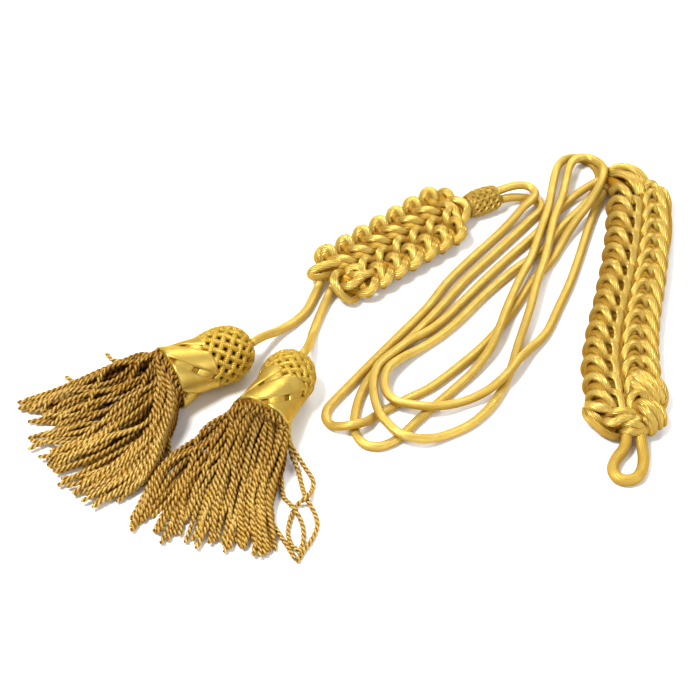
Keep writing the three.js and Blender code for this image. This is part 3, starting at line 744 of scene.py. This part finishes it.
FOOT_TURNS = [
    [(128, -46.7, 7), (129, -52.3, 8.6), (131.8, -56, 8.2), (135.5, -58.3, 7), (139, -60.5, 5)],
    [(152, -26, 9), (153, -30, 13.5), (159, -37, 14.5), (164, -43, 12), (165, -47, 8)],
    [(150, -31, 8), (151.5, -34, 12), (156, -40.5, 13.5), (161, -45, 11), (162.5, -49, 7)],
    [(155, -25, 9), (157, -29, 13.5), (162.5, -35, 14), (167, -41, 11), (168, -46, 6.5)],
    [(160, -26, 9), (166, -30, 9.5), (169.5, -36, 8.5), (170, -42, 6.5), (167.5, -49, 4)],
    [(153.5, -47, 9), (156, -49, 12.5), (160.5, -52.5, 13.5), (165, -57.5, 10), (165.5, -62, 5)],
    [(152.5, -51.5, 8), (155.5, -53, 12), (159, -57.5, 13), (162, -61.5, 9), (161.5, -65, 4.5)],
    [(154, -56, 7), (157.5, -58.5, 10), (160.5, -62, 8), (160, -66, 4.5)],
    [(157, -46, 7), (163, -48, 9.5), (167.5, -53.5, 8), (168, -59.5, 4.5)],
    [(127.5, -46.5, 7), (128.5, -50.5, 12), (133.5, -53.5, 13.5), (138.5, -54.5, 12.5),
     (142, -57, 8)],
    [(126.5, -47, 5), (127, -54, 7), (131.5, -59.5, 6.5), (135.5, -63.5, 5.5), (141, -66, 4.5),
     (146, -65, 4)],
    [(137.5, -55, 8), (140.5, -56.5, 13), (145, -57, 14.5), (150, -57, 13.5), (153, -57, 9)],
    [(137, -57.5, 8), (137.5, -62, 12), (140.5, -63.5, 13), (144, -61.5, 13.5), (149, -60, 13),
     (153, -59, 9)],
    [(145, -63.5, 5), (149, -63, 9.5), (153, -60, 11.5), (156, -56.5, 9)],
    [(144.5, -61, 8), (149, -62.5, 11), (153.5, -63.5, 10.5), (158, -64.5, 6)],
    [(144, -62.5, 6), (148, -66, 8.5), (152.5, -66.5, 8.5), (157.5, -64.5, 7.5), (159, -60, 5)],
]
SHADED_TURNS = [
    [(158, 129.5, 5.5), (162, 130, 5.5), (166, 125, 5.5), (168, 119, 5.5)],
    [(149, 126.5, 4), (153, 124, 5), (157, 119, 5)],
    [(155.5, 111, 4.5), (157, 110, 6), (160, 106, 6)],
    [(128, -47, 4.5), (130, -51, 4.5), (135, -54, 5)],
    [(149.5, 129, 5), (152.5, 127, 8), (156, 123.5, 10), (160, 120, 10), (163, 114, 10)],
    [(162, 124, 9), (170, 121, 8), (176, 116, 7), (183, 108, 5)],
    [(131, -55, 3), (136, -59, 4), (143, -62, 4)],
    [(133, -51, 5), (139, -58, 7), (147, -61, 7), (156, -60, 6)],
    [(146, -46, 9), (151, -48, 10), (153, -53, 9), (157, -61, 6)],
]
CORD_TAILS = [
    [(150.6, 129.3, 7.9), (154, 131, 8), (158, 131.5, 8.5)],
    [(150.6, 121.5, 6.4), (152.5, 124.5, 7), (155.5, 127.5, 7.5)],
]
print("turns:", len(TOP_TURNS), "at the top,", len(FOOT_TURNS), "at the foot")

# %% The long plait's ends and its core
CORE_WIDTH_SHARE = 0.88
CORE_FLATNESS = 0.22
CORE_HEIGHT = 0.33
SHADED_D = 6
for points in TOP_TURNS + FOOT_TURNS:
    tone = tones.uniform(0.2, 0.6)
    plait_strand(long_plait, dive_line(points), radius=2.5, low=2.5, high=9.5, tone=tone)
for points in CORD_TAILS:
    long_plait.add(dive_line(points), CORD_D / 2, tail_section, tone=0.5, ends=0.95)
for points in SHADED_TURNS:
    long_plait.add(dive_line(points), SHADED_D / 2, strand_section, hollow=0.9, tone=1.0)
# a flat core under the strands, painted in shade, fills the gaps between them
core_rows = np.linspace(1.9, LONG_ROWS - 0.6, 90)
core_widths = np.interp(core_rows / LONG_ROWS, spine_way, spine_widths)
core_section = round_section(20) * np.array([1, CORE_FLATNESS])
long_plait.add(long_place(0, core_rows, CORE_HEIGHT),
               LONG_HALF_WIDTH * core_widths * CORE_WIDTH_SHARE, core_section, hollow=0.7,
               tone=1.0, ends=0.8)
finish_piece(long_plait.build("long_plait_braid"), plait_gold, "long_plait")

# %% [markdown]
# The short plait is wider for its length and its strands are fatter. Its far edge is a row of
# round bights, then come bars that lie level, then two columns of upright hooks, and the near
# edge is a row of bights again. Its routes are written as the eye sees them, as steps to the
# right and away, from a centre for each row and column.

# %% Routes of the short plait: steps to the right and away, and height share
FAR_BIGHT = [(-3.4, -4.2, 0.1), (-3.9, -0.2, 0.5), (-2.2, 2.8, 0.86), (0.9, 3.2, 1.0),
             (3.2, 0.9, 0.92), (4, -2.6, 0.55)]
FAR_UNDER = [(-1.2, 3.4, 0.15), (-0.2, 1, 0.45), (1, -1.5, 0.6), (3.2, -4, 0.6), (6, -5.6, 0.45)]
FAR_FILL = [(-2.2, -2, 0.6), (-0.4, 0.6, 0.72), (1.2, 1, 0.74), (2.2, -0.8, 0.66)]
BAR = [(-8, 2.4, 0.72), (-4.6, 1.3, 0.97), (0, 0.4, 1.06), (4.6, -0.3, 0.97), (8, -0.2, 0.72)]
BAR_UNDER = [(-7, -1.8, 0.4), (-3.8, -2.6, 0.74), (0, -3.2, 0.82), (4, -3.8, 0.74),
             (7, -3.6, 0.4)]
INNER_HOOK = [(-1.6, -6, 0.4), (-2, -2, 0.88), (-0.9, 2, 1.06), (1.8, 4, 0.95), (4, 4, 0.6)]
OUTER_HOOK = [(2.6, -6.5, 0.4), (3, -2, 0.82), (1.8, 2.2, 1.0), (-1, 3.8, 0.88), (-3.6, 2.8, 0.5)]
NEAR_BIGHT = [(4.4, 6.5, 0.72), (4.8, 2.4, 0.82), (2.8, -1.2, 0.66), (-1.8, -2.4, 0.46),
              (-6, -0.8, 0.22)]
NEAR_UNDER = [(-3.5, 5, 0.62), (-2.5, 2, 0.6), (0, -0.5, 0.4), (2, -2.4, 0.12)]
print("places: far bight", len(FAR_BIGHT), "bar", len(BAR), "near bight", len(NEAR_BIGHT))

# %% The short plait's rows
SHORT_PITCH = 12.6
OUTER_PITCH = 11.8
NEAR_PITCH = 11
FAR_SIDE = 14.6
BAR_SIDE = 4
INNER_SIDE = -5.8
OUTER_SIDE = -13.4
NEAR_SIDE = -18.8
SHORT_LOW = 3
# strands under others are painted in shade from this height down
UNDER_OTHERS = 13.5
short_plait = Sweep()


def short_row(table, along, beside, radius, tone=0.35, taper=0.25, high=9.5):
    x, y, _ = turned(SHORT_CENTRE, SHORT_ANGLE, along, beside, 0)
    right, away, up = np.array(table).T
    height = strand_height(up, SHORT_HEIGHT)
    line = dive_line(np.stack([x + right, y + away, height], axis=1))
    tone += tones.uniform(-0.15, 0.15)
    plait_strand(short_plait, line, radius, SHORT_LOW, high, tone, taper)


for k in range(-3, 4):
    far = k * SHORT_PITCH + 2.5
    short_row(FAR_BIGHT, far, FAR_SIDE, radius=2.6)
    short_row(FAR_FILL, far, FAR_SIDE, radius=2.1, tone=0.9, high=UNDER_OTHERS)
    short_row(FAR_UNDER, far, FAR_SIDE, radius=2.8, tone=1.0, high=UNDER_OTHERS)
    if k < 3:
        bar = k * SHORT_PITCH + 5.6
        short_row(BAR, bar, BAR_SIDE, radius=2.5, taper=0.7)
        short_row(BAR_UNDER, bar, BAR_SIDE, radius=2.5, tone=1.0, taper=0.7, high=UNDER_OTHERS)
    if k > -3:
        short_row(INNER_HOOK, k * SHORT_PITCH + 1, INNER_SIDE, radius=2.5)
        short_row(OUTER_HOOK, k * OUTER_PITCH + 1, OUTER_SIDE, radius=2.55)
    near = k * NEAR_PITCH - 1
    short_row(NEAR_BIGHT, near, NEAR_SIDE, radius=2.8)
    short_row(NEAR_UNDER, near, NEAR_SIDE, radius=2.8, tone=1.0, high=UNDER_OTHERS)
print("strands in the rows:", len(short_plait.places))

# %% Turns at the short plait's ends
SHORT_END_TURNS = [
    [(-10, 60, 3), (-15.5, 61.5, 4.5), (-18.5, 64, 7.5), (-16.5, 67.5, 10.5), (-12, 68, 12),
     (-8, 65.5, 10)],
    [(-3, 56, 9), (-8, 55, 12.5), (-14, 53.5, 12.5), (-20, 52, 10.5), (-22.5, 50.5, 8.5),
     (-19.5, 49, 7.4), (-13.5, 50.2, 7.4), (-8, 53.5, 7)],
    [(-4, 51, 9), (-7.5, 47, 12.5), (-9, 41.5, 12.5), (-7, 37, 10), (-3.5, 34, 7), (1, 33, 5),
     (5, 37.5, 4)],
    [(-5.5, 43, 7), (-1.5, 38.5, 10.5), (3.5, 41, 12), (7, 46, 11.5), (6, 51.5, 12), (1, 53, 11),
     (-3, 50, 8)],
    [(0, 49, 9), (3, 46, 12), (8, 46.5, 12), (12.5, 49.5, 10), (14, 53, 7)],
    [(52, 106, 8), (56, 104, 12), (60.5, 99, 12), (62.5, 94, 10), (63, 88, 6)],
    [(57, 110, 9), (61.5, 107.5, 12), (66.5, 104.5, 12), (68.5, 101, 10.5), (67, 96, 9),
     (63, 91.5, 6)],
    [(50, 112, 5), (53, 116.5, 8.5), (57, 115, 11), (59.5, 110, 9.5), (60, 105, 6)],
]
SHORT_SHADED_TURNS = [
    [(40, 106, 5), (45, 110.3, 6), (49, 111, 6.5), (53, 110, 7)],
    [(-18, 53, 6.8), (-13, 53.6, 7), (-8, 54.5, 7)],
    [(50, 109, 6), (56, 104, 7), (61, 98, 6), (62, 92, 5)],
    [(48, 113, 4), (53, 112.5, 7), (58, 108, 7), (64, 102, 7), (66, 97, 5)],
    [(-13, 56, 6), (-8, 54, 6), (-4, 48, 6), (-2, 42, 6)],
    [(-6, 42, 4), (0, 40, 6), (6, 42, 6), (10, 46, 5)],
]
TASSEL_CORD_TAILS = [
    [(-15.9, 48.5, 5.25), (-14, 51.8, 5.4), (-12, 55, 6)],
    [(-10.4, 41.6, 5.25), (-9, 44.6, 5.4), (-6.5, 48, 6)],
]
print("turns:", len(SHORT_END_TURNS), "and", len(SHORT_SHADED_TURNS), "in shade")

# %% The short plait's ends and its core
SHORT_CORE_HALF = 17.3
SHORT_CORE_FLATNESS = 0.28
SHORT_CORE_HEIGHT = 5.2
SHORT_SHADED_D = 6.8
for points in TASSEL_CORD_TAILS:
    short_plait.add(dive_line(points), CORD_D / 2, tail_section, tone=0.5, ends=0.95)
for points in SHORT_SHADED_TURNS:
    short_plait.add(dive_line(points), SHORT_SHADED_D / 2, strand_section, hollow=0.75, tone=1.0)
for points in SHORT_END_TURNS:
    tone = tones.uniform(0.2, 0.6)
    plait_strand(short_plait, dive_line(points), radius=2.6, low=2.5, high=8.5, tone=tone)
# a flat core under the strands, painted in shade, fills the gaps between them
core_section = round_section(20) * np.array([1, SHORT_CORE_FLATNESS])
short_core = turned(SHORT_CENTRE, SHORT_ANGLE, np.linspace(-42, 40, 24), -0.8, SHORT_CORE_HEIGHT)
short_plait.add(short_core, SHORT_CORE_HALF, core_section, hollow=0.65, tone=1.0, ends=0.7)
finish_piece(short_plait.build("short_plait_braid"), plait_gold, "short_plait")

# %% [markdown]
# Each tassel has a round head under net, a satin collar of crossed strips and a skirt of bullion:
# tight two-ply twists of thin gold wire. The two tassels are one design laid in two directions,
# so their measures and places stand in one table. The collars are a little fuller and longer than
# their solids, as the photograph shows them when it is looked at closely.

# %% Tassel measures and places
HEAD_LENGTH = 29
HEAD_D = 31.5
WAIST_D = 28.8
SOLE_DEPTH = 0.6
HEAD_PROFILE = [(0, 0.05), (0.012, 0.38), (0.1, 0.66), (0.26, 0.88), (0.5, 1), (0.74, 0.97),
                (1, WAIST_D / HEAD_D)]
TASSELS = [
    {"side": "left", "entry": (-55.5, -9.5), "angle": 210, "size": 1,
     "net_end": 0.9, "hem_end": 48.5, "hem_d": 35.5},
    {"side": "right", "entry": (-27.5, -20), "angle": 245, "size": 0.94,
     "net_end": 0.76, "hem_end": 51, "hem_d": 37},
]


def axis_height(tassel):
    return (HEAD_D / 2 - SOLE_DEPTH) * tassel["size"]


def tassel_spot(tassel, along, radius, turn, thickness):
    """A place beside the tassel's axis; nothing goes under the surface that it lies on."""
    size = tassel["size"]
    height = axis_height(tassel) + radius * size * np.sin(turn)
    return turned(tassel["entry"], math.radians(tassel["angle"]), along * size,
                  radius * size * np.cos(turn), np.maximum(height, thickness / 2 + FLOOR_GAP))


print("axis heights:", [round(axis_height(tassel), 1) for tassel in TASSELS])

# %% Finishes of the tassels
# The third colour of each finish is painted shade.
net_gold = gold_thread("netted gold", (0.60, 0.41, 0.075), (0.40, 0.23, 0.02),
                       (0.085, 0.034, 0.002), threads=5, lead=5, relief=0.25, roughness=0.32)
satin_gold = gold_thread("satin strip gold", (0.58, 0.41, 0.10), (0.40, 0.25, 0.022),
                         (0.20, 0.075, 0.004), threads=26, lead=900, relief=0.06,
                         roughness=0.3, metallic=0.75)
bullion_gold = gold_thread("bullion gold", (0.84, 0.62, 0.20), (0.55, 0.30, 0.02),
                           (0.15, 0.045, 0.0005), threads=6, lead=1.6, relief=0.12,
                           roughness=0.28, metallic=0.7, edge=(1, 0.7, 0.24))
print("materials:", net_gold.name, satin_gold.name, bullion_gold.name)

# %% Tassel heads
NET_STRANDS = 12
NET_THICKNESS = 3.5
NET_FLATTENED = 2.6
NET_INSET = 1.25
NET_LEAST_RADIUS = 1.8
HEAD_CORE_INSET = 2.4
CORE_LEAST_RADIUS = 0.8
core_round = round_section(36)


def head_radius(share):
    return HEAD_D / 2 * np.interp(share, *zip(*HEAD_PROFILE))


def head_spot_for(tassel):
    def spot(share, turn, lift):
        radius = np.maximum(head_radius(share) - NET_INSET + lift, NET_LEAST_RADIUS)
        return tassel_spot(tassel, share * HEAD_LENGTH, radius, turn, NET_FLATTENED)
    return spot


core_shares = np.linspace(0, 1, 24)
core_radii = np.maximum(head_radius(core_shares) - HEAD_CORE_INSET, CORE_LEAST_RADIUS)
for tassel in TASSELS:
    head = Sweep()
    reach = (0.012, tassel["net_end"] + 0.06)
    net_strands(head, head_spot_for(tassel), reach, NET_STRANDS, NET_THICKNESS, weave=0.18,
                tone=0.3, points=57)
    # the head's core shows through the net's holes, painted in full shade
    core = tassel_spot(tassel, core_shares * HEAD_LENGTH, 0, 0, 0)
    head.add(core, core_radii * tassel["size"], core_round, hollow=1.0, tone=1.0, ends=1)
    finish_piece(head.build(f"tassel_head_{tassel['side']}_net"), net_gold,
                 f"tassel_head_{tassel['side']}")

# %% [markdown]
# The collar is wound from flat satin strips, ten in all, half of them leaning each way. A strip
# needs a section that stays flat on the collar, so its frames come from the cone under it.

# %% The collars' shape and their strips
STRIPS = 5
STRIP_SWEEP = math.radians(80)
STRIP_HALF_ANGLE = math.radians(27)
STRIP_CROWN = 0.045
STRIP_THICKNESS = 0.06
OVER_DEPTH = 0.15
UNDER_DEPTH = 0.95
COLLAR_CORE_DEPTH = 1.3
COLLAR_STEPS = 24


def band_radius(tassel, along):
    """The collar starts over the net's end, hugs the waist and flares to its hem."""
    net_end, hem_end = tassel["net_end"], tassel["hem_end"]
    ends = [net_end * HEAD_LENGTH, HEAD_LENGTH, (HEAD_LENGTH + hem_end) / 2, hem_end]
    return np.interp(along, ends, [head_radius(net_end) + 0.2, WAIST_D / 2 + 0.3,
                                   WAIST_D / 2 + 1.2, tassel["hem_d"] / 2])


def strip_section():
    """A strip of a round collar, in shares of the collar's radius: crowned above, hollow below."""
    across = np.linspace(-1, 1, 9)
    x, y = np.sin(across * STRIP_HALF_ANGLE), np.cos(across * STRIP_HALF_ANGLE) - 1
    over = np.stack([x, y + STRIP_CROWN * (1 - across**2)], axis=1)
    under = np.stack([x, y - STRIP_THICKNESS], axis=1)[::-1]
    return np.vstack([over, under])[::-1]


strip = strip_section()
print("a strip's section has", len(strip), "corners")

# %% Tassel collars
share = np.linspace(0, 1, COLLAR_STEPS)
for tassel in TASSELS:
    band = Sweep()
    size = tassel["size"]
    along = np.linspace(tassel["net_end"] * HEAD_LENGTH - 0.5, tassel["hem_end"], COLLAR_STEPS)
    for sign, depth in ((1, OVER_DEPTH), (-1, UNDER_DEPTH)):
        radius = band_radius(tassel, along) - depth
        for i in range(STRIPS):
            turn = 2 * np.pi * (i + 0.1) / STRIPS + sign * STRIP_SWEEP * (share - 0.5)
            line = tassel_spot(tassel, along, radius, turn, 0.6)
            round_about = unit(tassel_spot(tassel, along, radius, turn + 0.01, 0) - line)
            outward = unit(line - tassel_spot(tassel, along, 0, turn, 0))
            band.add(line, radius * size, strip, frames=(round_about, outward),
                     tone=0.15 + 0.15 * (i % 3), ends=0.98)
    # the collar's core shows between the strips, painted in shade
    core = tassel_spot(tassel, along, 0, 0, 0)
    core_radii = (band_radius(tassel, along) - COLLAR_CORE_DEPTH) * size
    band.add(core, core_radii, core_round, hollow=0.75, tone=0.9, ends=1)
    finish_piece(band.build(f"tassel_band_{tassel['side']}_strips"), satin_gold,
                 f"tassel_band_{tassel['side']}")

# %% [markdown]
# Bullion looks like a thin rope with a bright slanting turn every few millimetres, and its edge
# is wavy for the same reason. That has to be in the mesh to be seen against a white ground: each
# strand sweeps a peanut section that turns once in a little over six millimetres. The strands
# start round the collar's hem, fan out over the surface and lie on each other, the upper ones
# falling last.

# %% A bullion strand
BULLION_D = 2.9
BULLION_LEAD = 6.4
BULLION_SIDES = 8
BULLION_WAIST = 0.56
BULLION_STEP = 0.82
HIDDEN_STEP = 1.1
LOWEST_BULLION = BULLION_D / 2 + FLOOR_GAP
# no painted shade along the strand
UNSHADED = ([0, 1], [0, 0])
bullion = twisted_section(BULLION_SIDES, BULLION_WAIST)
# painted shade in the groove between the two plies of each strand
bullion_groove = (1 - np.abs(np.cos(side_turns(BULLION_SIDES)))) ** 0.7


def add_bullion(sweep, points, tone, shade=UNSHADED, step=BULLION_STEP):
    """Shade pairs shares of the strand's length with how dark it is there."""
    line = even_line(smooth_line(points, 6), step)
    line[:, 2] = np.maximum(line[:, 2], LOWEST_BULLION)
    turns = way_along(line) * 2 * np.pi / BULLION_LEAD + tone * 6
    hollow = np.interp(np.linspace(0, 1, len(line)), *shade)
    sweep.add(line, BULLION_D / 2, bullion, hollow=hollow, tone=tone, turns=turns, ends=0.55,
              groove=bullion_groove)


print("bullion:", BULLION_D, "mm thick, one turn in", BULLION_LEAD, "mm")

# %% [markdown]
# The skirts lie as they fell, so each one follows eleven guide lines that were read from the
# photograph, from one side of the fan to the other. A strand starts on the collar's hem and runs
# between two guides. It strays from them a little, and it leans to the nearest guide at its end,
# which gathers the tips in locks.

# %% Guide lines of the two skirts, four places each
FANS = {
    "left": [
        [(-115, -19.5), (-131, -25), (-158, -36), (-182, -40)],
        [(-113, -23), (-131, -30), (-157, -40), (-183, -47)],
        [(-108, -30), (-124, -40), (-145, -51), (-173, -59)],
        [(-105, -37), (-119, -49), (-142, -60), (-174, -68)],
        [(-102, -43), (-115, -56), (-138, -69), (-168, -83)],
        [(-100, -48), (-110, -62), (-130, -77), (-161, -90)],
        [(-98, -52), (-105, -67), (-122, -84), (-156, -97)],
        [(-96, -55), (-102, -70), (-116, -89), (-147, -107)],
        [(-95, -57), (-100, -72), (-111, -94), (-136, -114)],
        [(-94, -58), (-98, -72), (-105, -93), (-120, -108)],
        [(-95, -56), (-98, -68), (-100, -82), (-105, -93)],
    ],
    "right": [
        [(-66, -62), (-78, -72), (-97, -88), (-114, -122)],
        [(-64, -63), (-74, -76), (-91, -95), (-113, -130)],
        [(-62, -63), (-71, -78), (-87, -99), (-101, -136)],
        [(-58, -64), (-66, -81), (-80, -104), (-91, -137)],
        [(-55, -65), (-61, -83), (-72, -107), (-80, -141)],
        [(-51, -66), (-57, -85), (-65, -109), (-72, -142)],
        [(-47, -67), (-52, -86), (-58, -110), (-63, -142)],
        [(-44, -68), (-48, -87), (-53, -111), (-55, -142)],
        [(-40, -69), (-44, -88), (-48, -111), (-48, -148)],
        [(-36, -70), (-39, -88), (-44, -112), (-42, -144)],
        [(-33, -72), (-35, -87), (-41, -112), (-38, -141)],
    ],
}
print("guide lines a skirt:", [len(guides) for guides in FANS.values()])

# %% One strand of a skirt
HEM_INSET = 0.6
INSIDE_HEM = 1.8
PILE_HEIGHT = 8
HEIGHT_STRAY = 0.7
FAN_SHARE = 0.94
DEPTH_SHARE = 0.92
GUIDE_STRAYS = (0.03, 0.05, 0.05, 0.025)
GUIDE_PULLS = (0.1, 0.3, 0.7, 1)
LENGTH_SHARES = (0, 0.06, 0.2, 0.42, 0.74, 1)
chance = random.Random(41)


def fringe_strand(tassel, across, layer, reach, gather=0.75):
    """One strand: across runs 0 to 1 over the fan, layer 0 on the surface to 1 on top.

    Reach is how much of the last span it covers, gather how far its tip leans to a guide.
    """
    size, angle = tassel["size"], math.radians(tassel["angle"])
    guides = np.array(FANS[tassel["side"]], float)
    last = len(guides) - 1
    hem = (tassel["hem_d"] / 2 - HEM_INSET) * size
    beside = (2 * across - 1) * FAN_SHARE * hem
    half = math.sqrt(hem * hem - beside * beside) * DEPTH_SHARE
    first_height = axis_height(tassel) + half * (2 * layer - 1)
    way = np.array([math.cos(angle), math.sin(angle)])
    out = np.array([-way[1], way[0]])
    start = (tassel["hem_end"] - INSIDE_HEM) * size
    origin = np.array(tassel["entry"]) + way * start + out * beside
    lean = across + (round(across * last) / last - across) * gather
    flat = [origin, origin + way * chance.uniform(3, 6)]
    for step, (stray, pull) in enumerate(zip(GUIDE_STRAYS, GUIDE_PULLS)):
        place = (across + (lean - across) * pull + chance.gauss(0, stray)) * last
        place = min(max(place, 0), last)
        at = [np.interp(place, range(last + 1), guides[:, step, axis]) for axis in (0, 1)]
        flat.append(np.array(at))
    flat[-1] = flat[-2] + (flat[-1] - flat[-2]) * reach
    points = []
    for (x, y), share in zip(flat, LENGTH_SHARES):
        settled = 1 - 0.75 * max(0.0, share - 0.5) * 2
        lying = LOWEST_BULLION + layer * PILE_HEIGHT * settled
        fall = (1 - share) ** (1.9 - 0.7 * (2 * across - 1) ** 2)
        height = lying + (first_height - lying) * fall + chance.gauss(0, HEIGHT_STRAY) * share
        points.append((x, y, max(height, LOWEST_BULLION)))
    return points


# %% The two skirts
FRINGE_STRANDS = 92
UNDER_STRANDS = 30
GOLDEN = (math.sqrt(5) - 1) / 2
SHADE_SHARES = [0, 0.12, 0.35, 0.7, 1]
# the under strands are painted in shade
UNDER_SHADE = ([0, 1], [0.8, 0.6])
for tassel in TASSELS:
    fringe = Sweep()
    for i in range(FRINGE_STRANDS):
        layer = math.sqrt((i + 0.5) / FRINGE_STRANDS)
        across = (i * GOLDEN + 0.13) % 1
        # painted shade: strands low in the pile and on the side of the fan where across is below a
        # half are darker, most near the hem
        dark = (1 - layer) * 0.6 + 0.4 * max(0.0, 0.5 - across)
        shade = (SHADE_SHARES, [dark + 0.3, dark + 0.2, dark + 0.2, dark * 0.8, dark * 0.3])
        step = BULLION_STEP if layer > 0.5 else HIDDEN_STEP
        points = fringe_strand(tassel, across, layer, chance.uniform(0.4, 1.0))
        add_bullion(fringe, points, chance.uniform(0.05, 0.7), shade, step)
    for i in range(UNDER_STRANDS):
        across = ((i + 0.5) / UNDER_STRANDS) ** 1.35
        points = fringe_strand(tassel, across, 0.05 + 0.25 * (i % 3), 0.35, gather=0)
        add_bullion(fringe, points, 0.6, UNDER_SHADE, HIDDEN_STEP)
    tassel["fringe"] = fringe
    print(tassel["side"], "skirt:", len(fringe.places), "strands")

# %% [markdown]
# Some strands have worked loose. Short ends stand off the left skirt and two long ones fill its
# thin side, and four long ones curl together beside the right skirt. A random scatter wouldn't
# lie where the photograph shows them, so each is a route of its own in the same fringe.

# %% Stray strands: x, y and height in the layout's millimetres
STRAYS = {
    "left": [
        [(-118, -21, 13), (-126, -18, 11), (-130, -17, 10.5), (-132, -14, 10), (-134, -11, 9.5)],
        [(-138, -30, 9), (-146, -31, 8.5), (-151, -30, 8), (-153, -28, 7.5), (-155, -26, 7)],
        [(-95, -54, 5), (-97.5, -62, 3), (-98.5, -72, 1.8), (-100, -80, 1.6), (-103, -87, 1.6)],
        [(-96, -55, 8), (-97, -64, 5), (-96.5, -72, 2.5), (-96, -80, 1.6), (-99, -86, 1.6)],
        [(-101, -13, 14), (-107, -15.5, 10), (-113.7, -19.5, 5.5), (-125, -28, 4),
         (-137.5, -36, 3.5), (-147, -41.5, 2.5), (-158, -46, 1.6)],
        [(-101, -15, 13), (-108, -18, 8), (-115, -22, 4.5), (-126, -30.5, 3), (-138, -38, 2.5),
         (-148, -43.5, 1.6), (-156, -48, 1.6)],
    ],
    "right": [
        [(-33, -66, 12), (-32, -74, 8), (-31, -79, 5), (-28, -86, 2.5), (-25, -99, 1.6),
         (-23, -107, 3.2), (-19, -114, 1.6), (-17, -123, 1.6), (-20, -133, 1.6),
         (-24, -140, 1.6), (-27, -147, 1.6)],
        [(-33, -67, 10), (-31, -75, 7), (-28, -79, 4.5), (-24, -85, 2), (-19.5, -94, 1.6),
         (-20, -100, 1.6), (-23, -108.5, 5.6), (-28, -111, 2), (-31, -119, 1.6),
         (-32, -129, 1.6), (-30, -136, 1.8), (-26, -141, 3.2)],
        [(-40, -70, 9), (-38, -79, 6), (-37, -88, 3.5), (-36, -95, 2), (-35, -104, 1.6),
         (-29, -114.5, 4.2), (-25, -122, 1.6), (-24, -131, 1.6), (-25, -138, 1.6),
         (-26, -144, 4)],
        [(-46, -100, 5), (-43, -111, 3), (-41, -120, 1.8), (-37, -128, 1.6), (-32, -137, 1.6),
         (-28, -145, 1.6)],
    ],
}
for tassel in TASSELS:
    for points in STRAYS[tassel["side"]]:
        add_bullion(tassel["fringe"], points, 0.3)
    finish_piece(tassel["fringe"].build(f"tassel_fringe_{tassel['side']}_bullion"),
                 bullion_gold, f"tassel_fringe_{tassel['side']}")

# %% [markdown]
# The cord was photographed on a plain white ground. A white floor and a white surround stand in
# for it. A soft light from the upper left does most of the work, a wide weak one on the right
# opens the shade and one from behind draws an edge on the thread. A bare sun would make the gold
# glitter in hard points, which the photograph doesn't have.

# %% Floor
FLOOR_REACH = 8
FLOOR_WHITE = 0.93
mesh = bpy.data.meshes.new("floor")
near, far = -FLOOR_REACH, FLOOR_REACH
corners = [(near, near, 0), (far, near, 0), (far, far, 0), (near, far, 0)]
mesh.from_pydata(corners, [], [(0, 1, 2, 3)])
floor = bpy.data.objects.new("floor", mesh)
bpy.context.scene.collection.objects.link(floor)
white = bpy.data.materials.new("white ground")
white.use_nodes = True
shader = white.node_tree.nodes["Principled BSDF"]
shader.inputs["Base Color"].default_value = (FLOOR_WHITE, FLOOR_WHITE, FLOOR_WHITE, 1)
shader.inputs["Roughness"].default_value = 0.9
shader.inputs["Specular IOR Level"].default_value = 0.1
mesh.materials.append(white)
print("floor:", 2 * FLOOR_REACH, "m wide")

# %% Lights and white surround
def soft_light(name, place, size, power):
    light = bpy.data.lights.new(name, "AREA")
    light.shape = "DISK"
    light.size = size
    light.energy = power
    lamp = bpy.data.objects.new(name, light)
    bpy.context.scene.collection.objects.link(lamp)
    lamp.location = place
    lamp.rotation_mode = "QUATERNION"
    lamp.rotation_quaternion = (-Vector(place)).to_track_quat("-Z", "Y")
    print(f"light {name}: {power} W")


soft_light("key", (-0.6, -0.2, 1.4), 0.45, 29)
soft_light("fill", (1.1, -0.7, 0.9), 0.9, 8)
soft_light("rim", (0.3, 1.3, 1.0), 0.7, 12)
world = bpy.data.worlds.new("studio")
world.use_nodes = True
world.node_tree.nodes["Background"].inputs["Color"].default_value = (1, 1, 1, 1)
world.node_tree.nodes["Background"].inputs["Strength"].default_value = 0.6
bpy.context.scene.world = world
bpy.context.scene.view_settings.view_transform = "Standard"
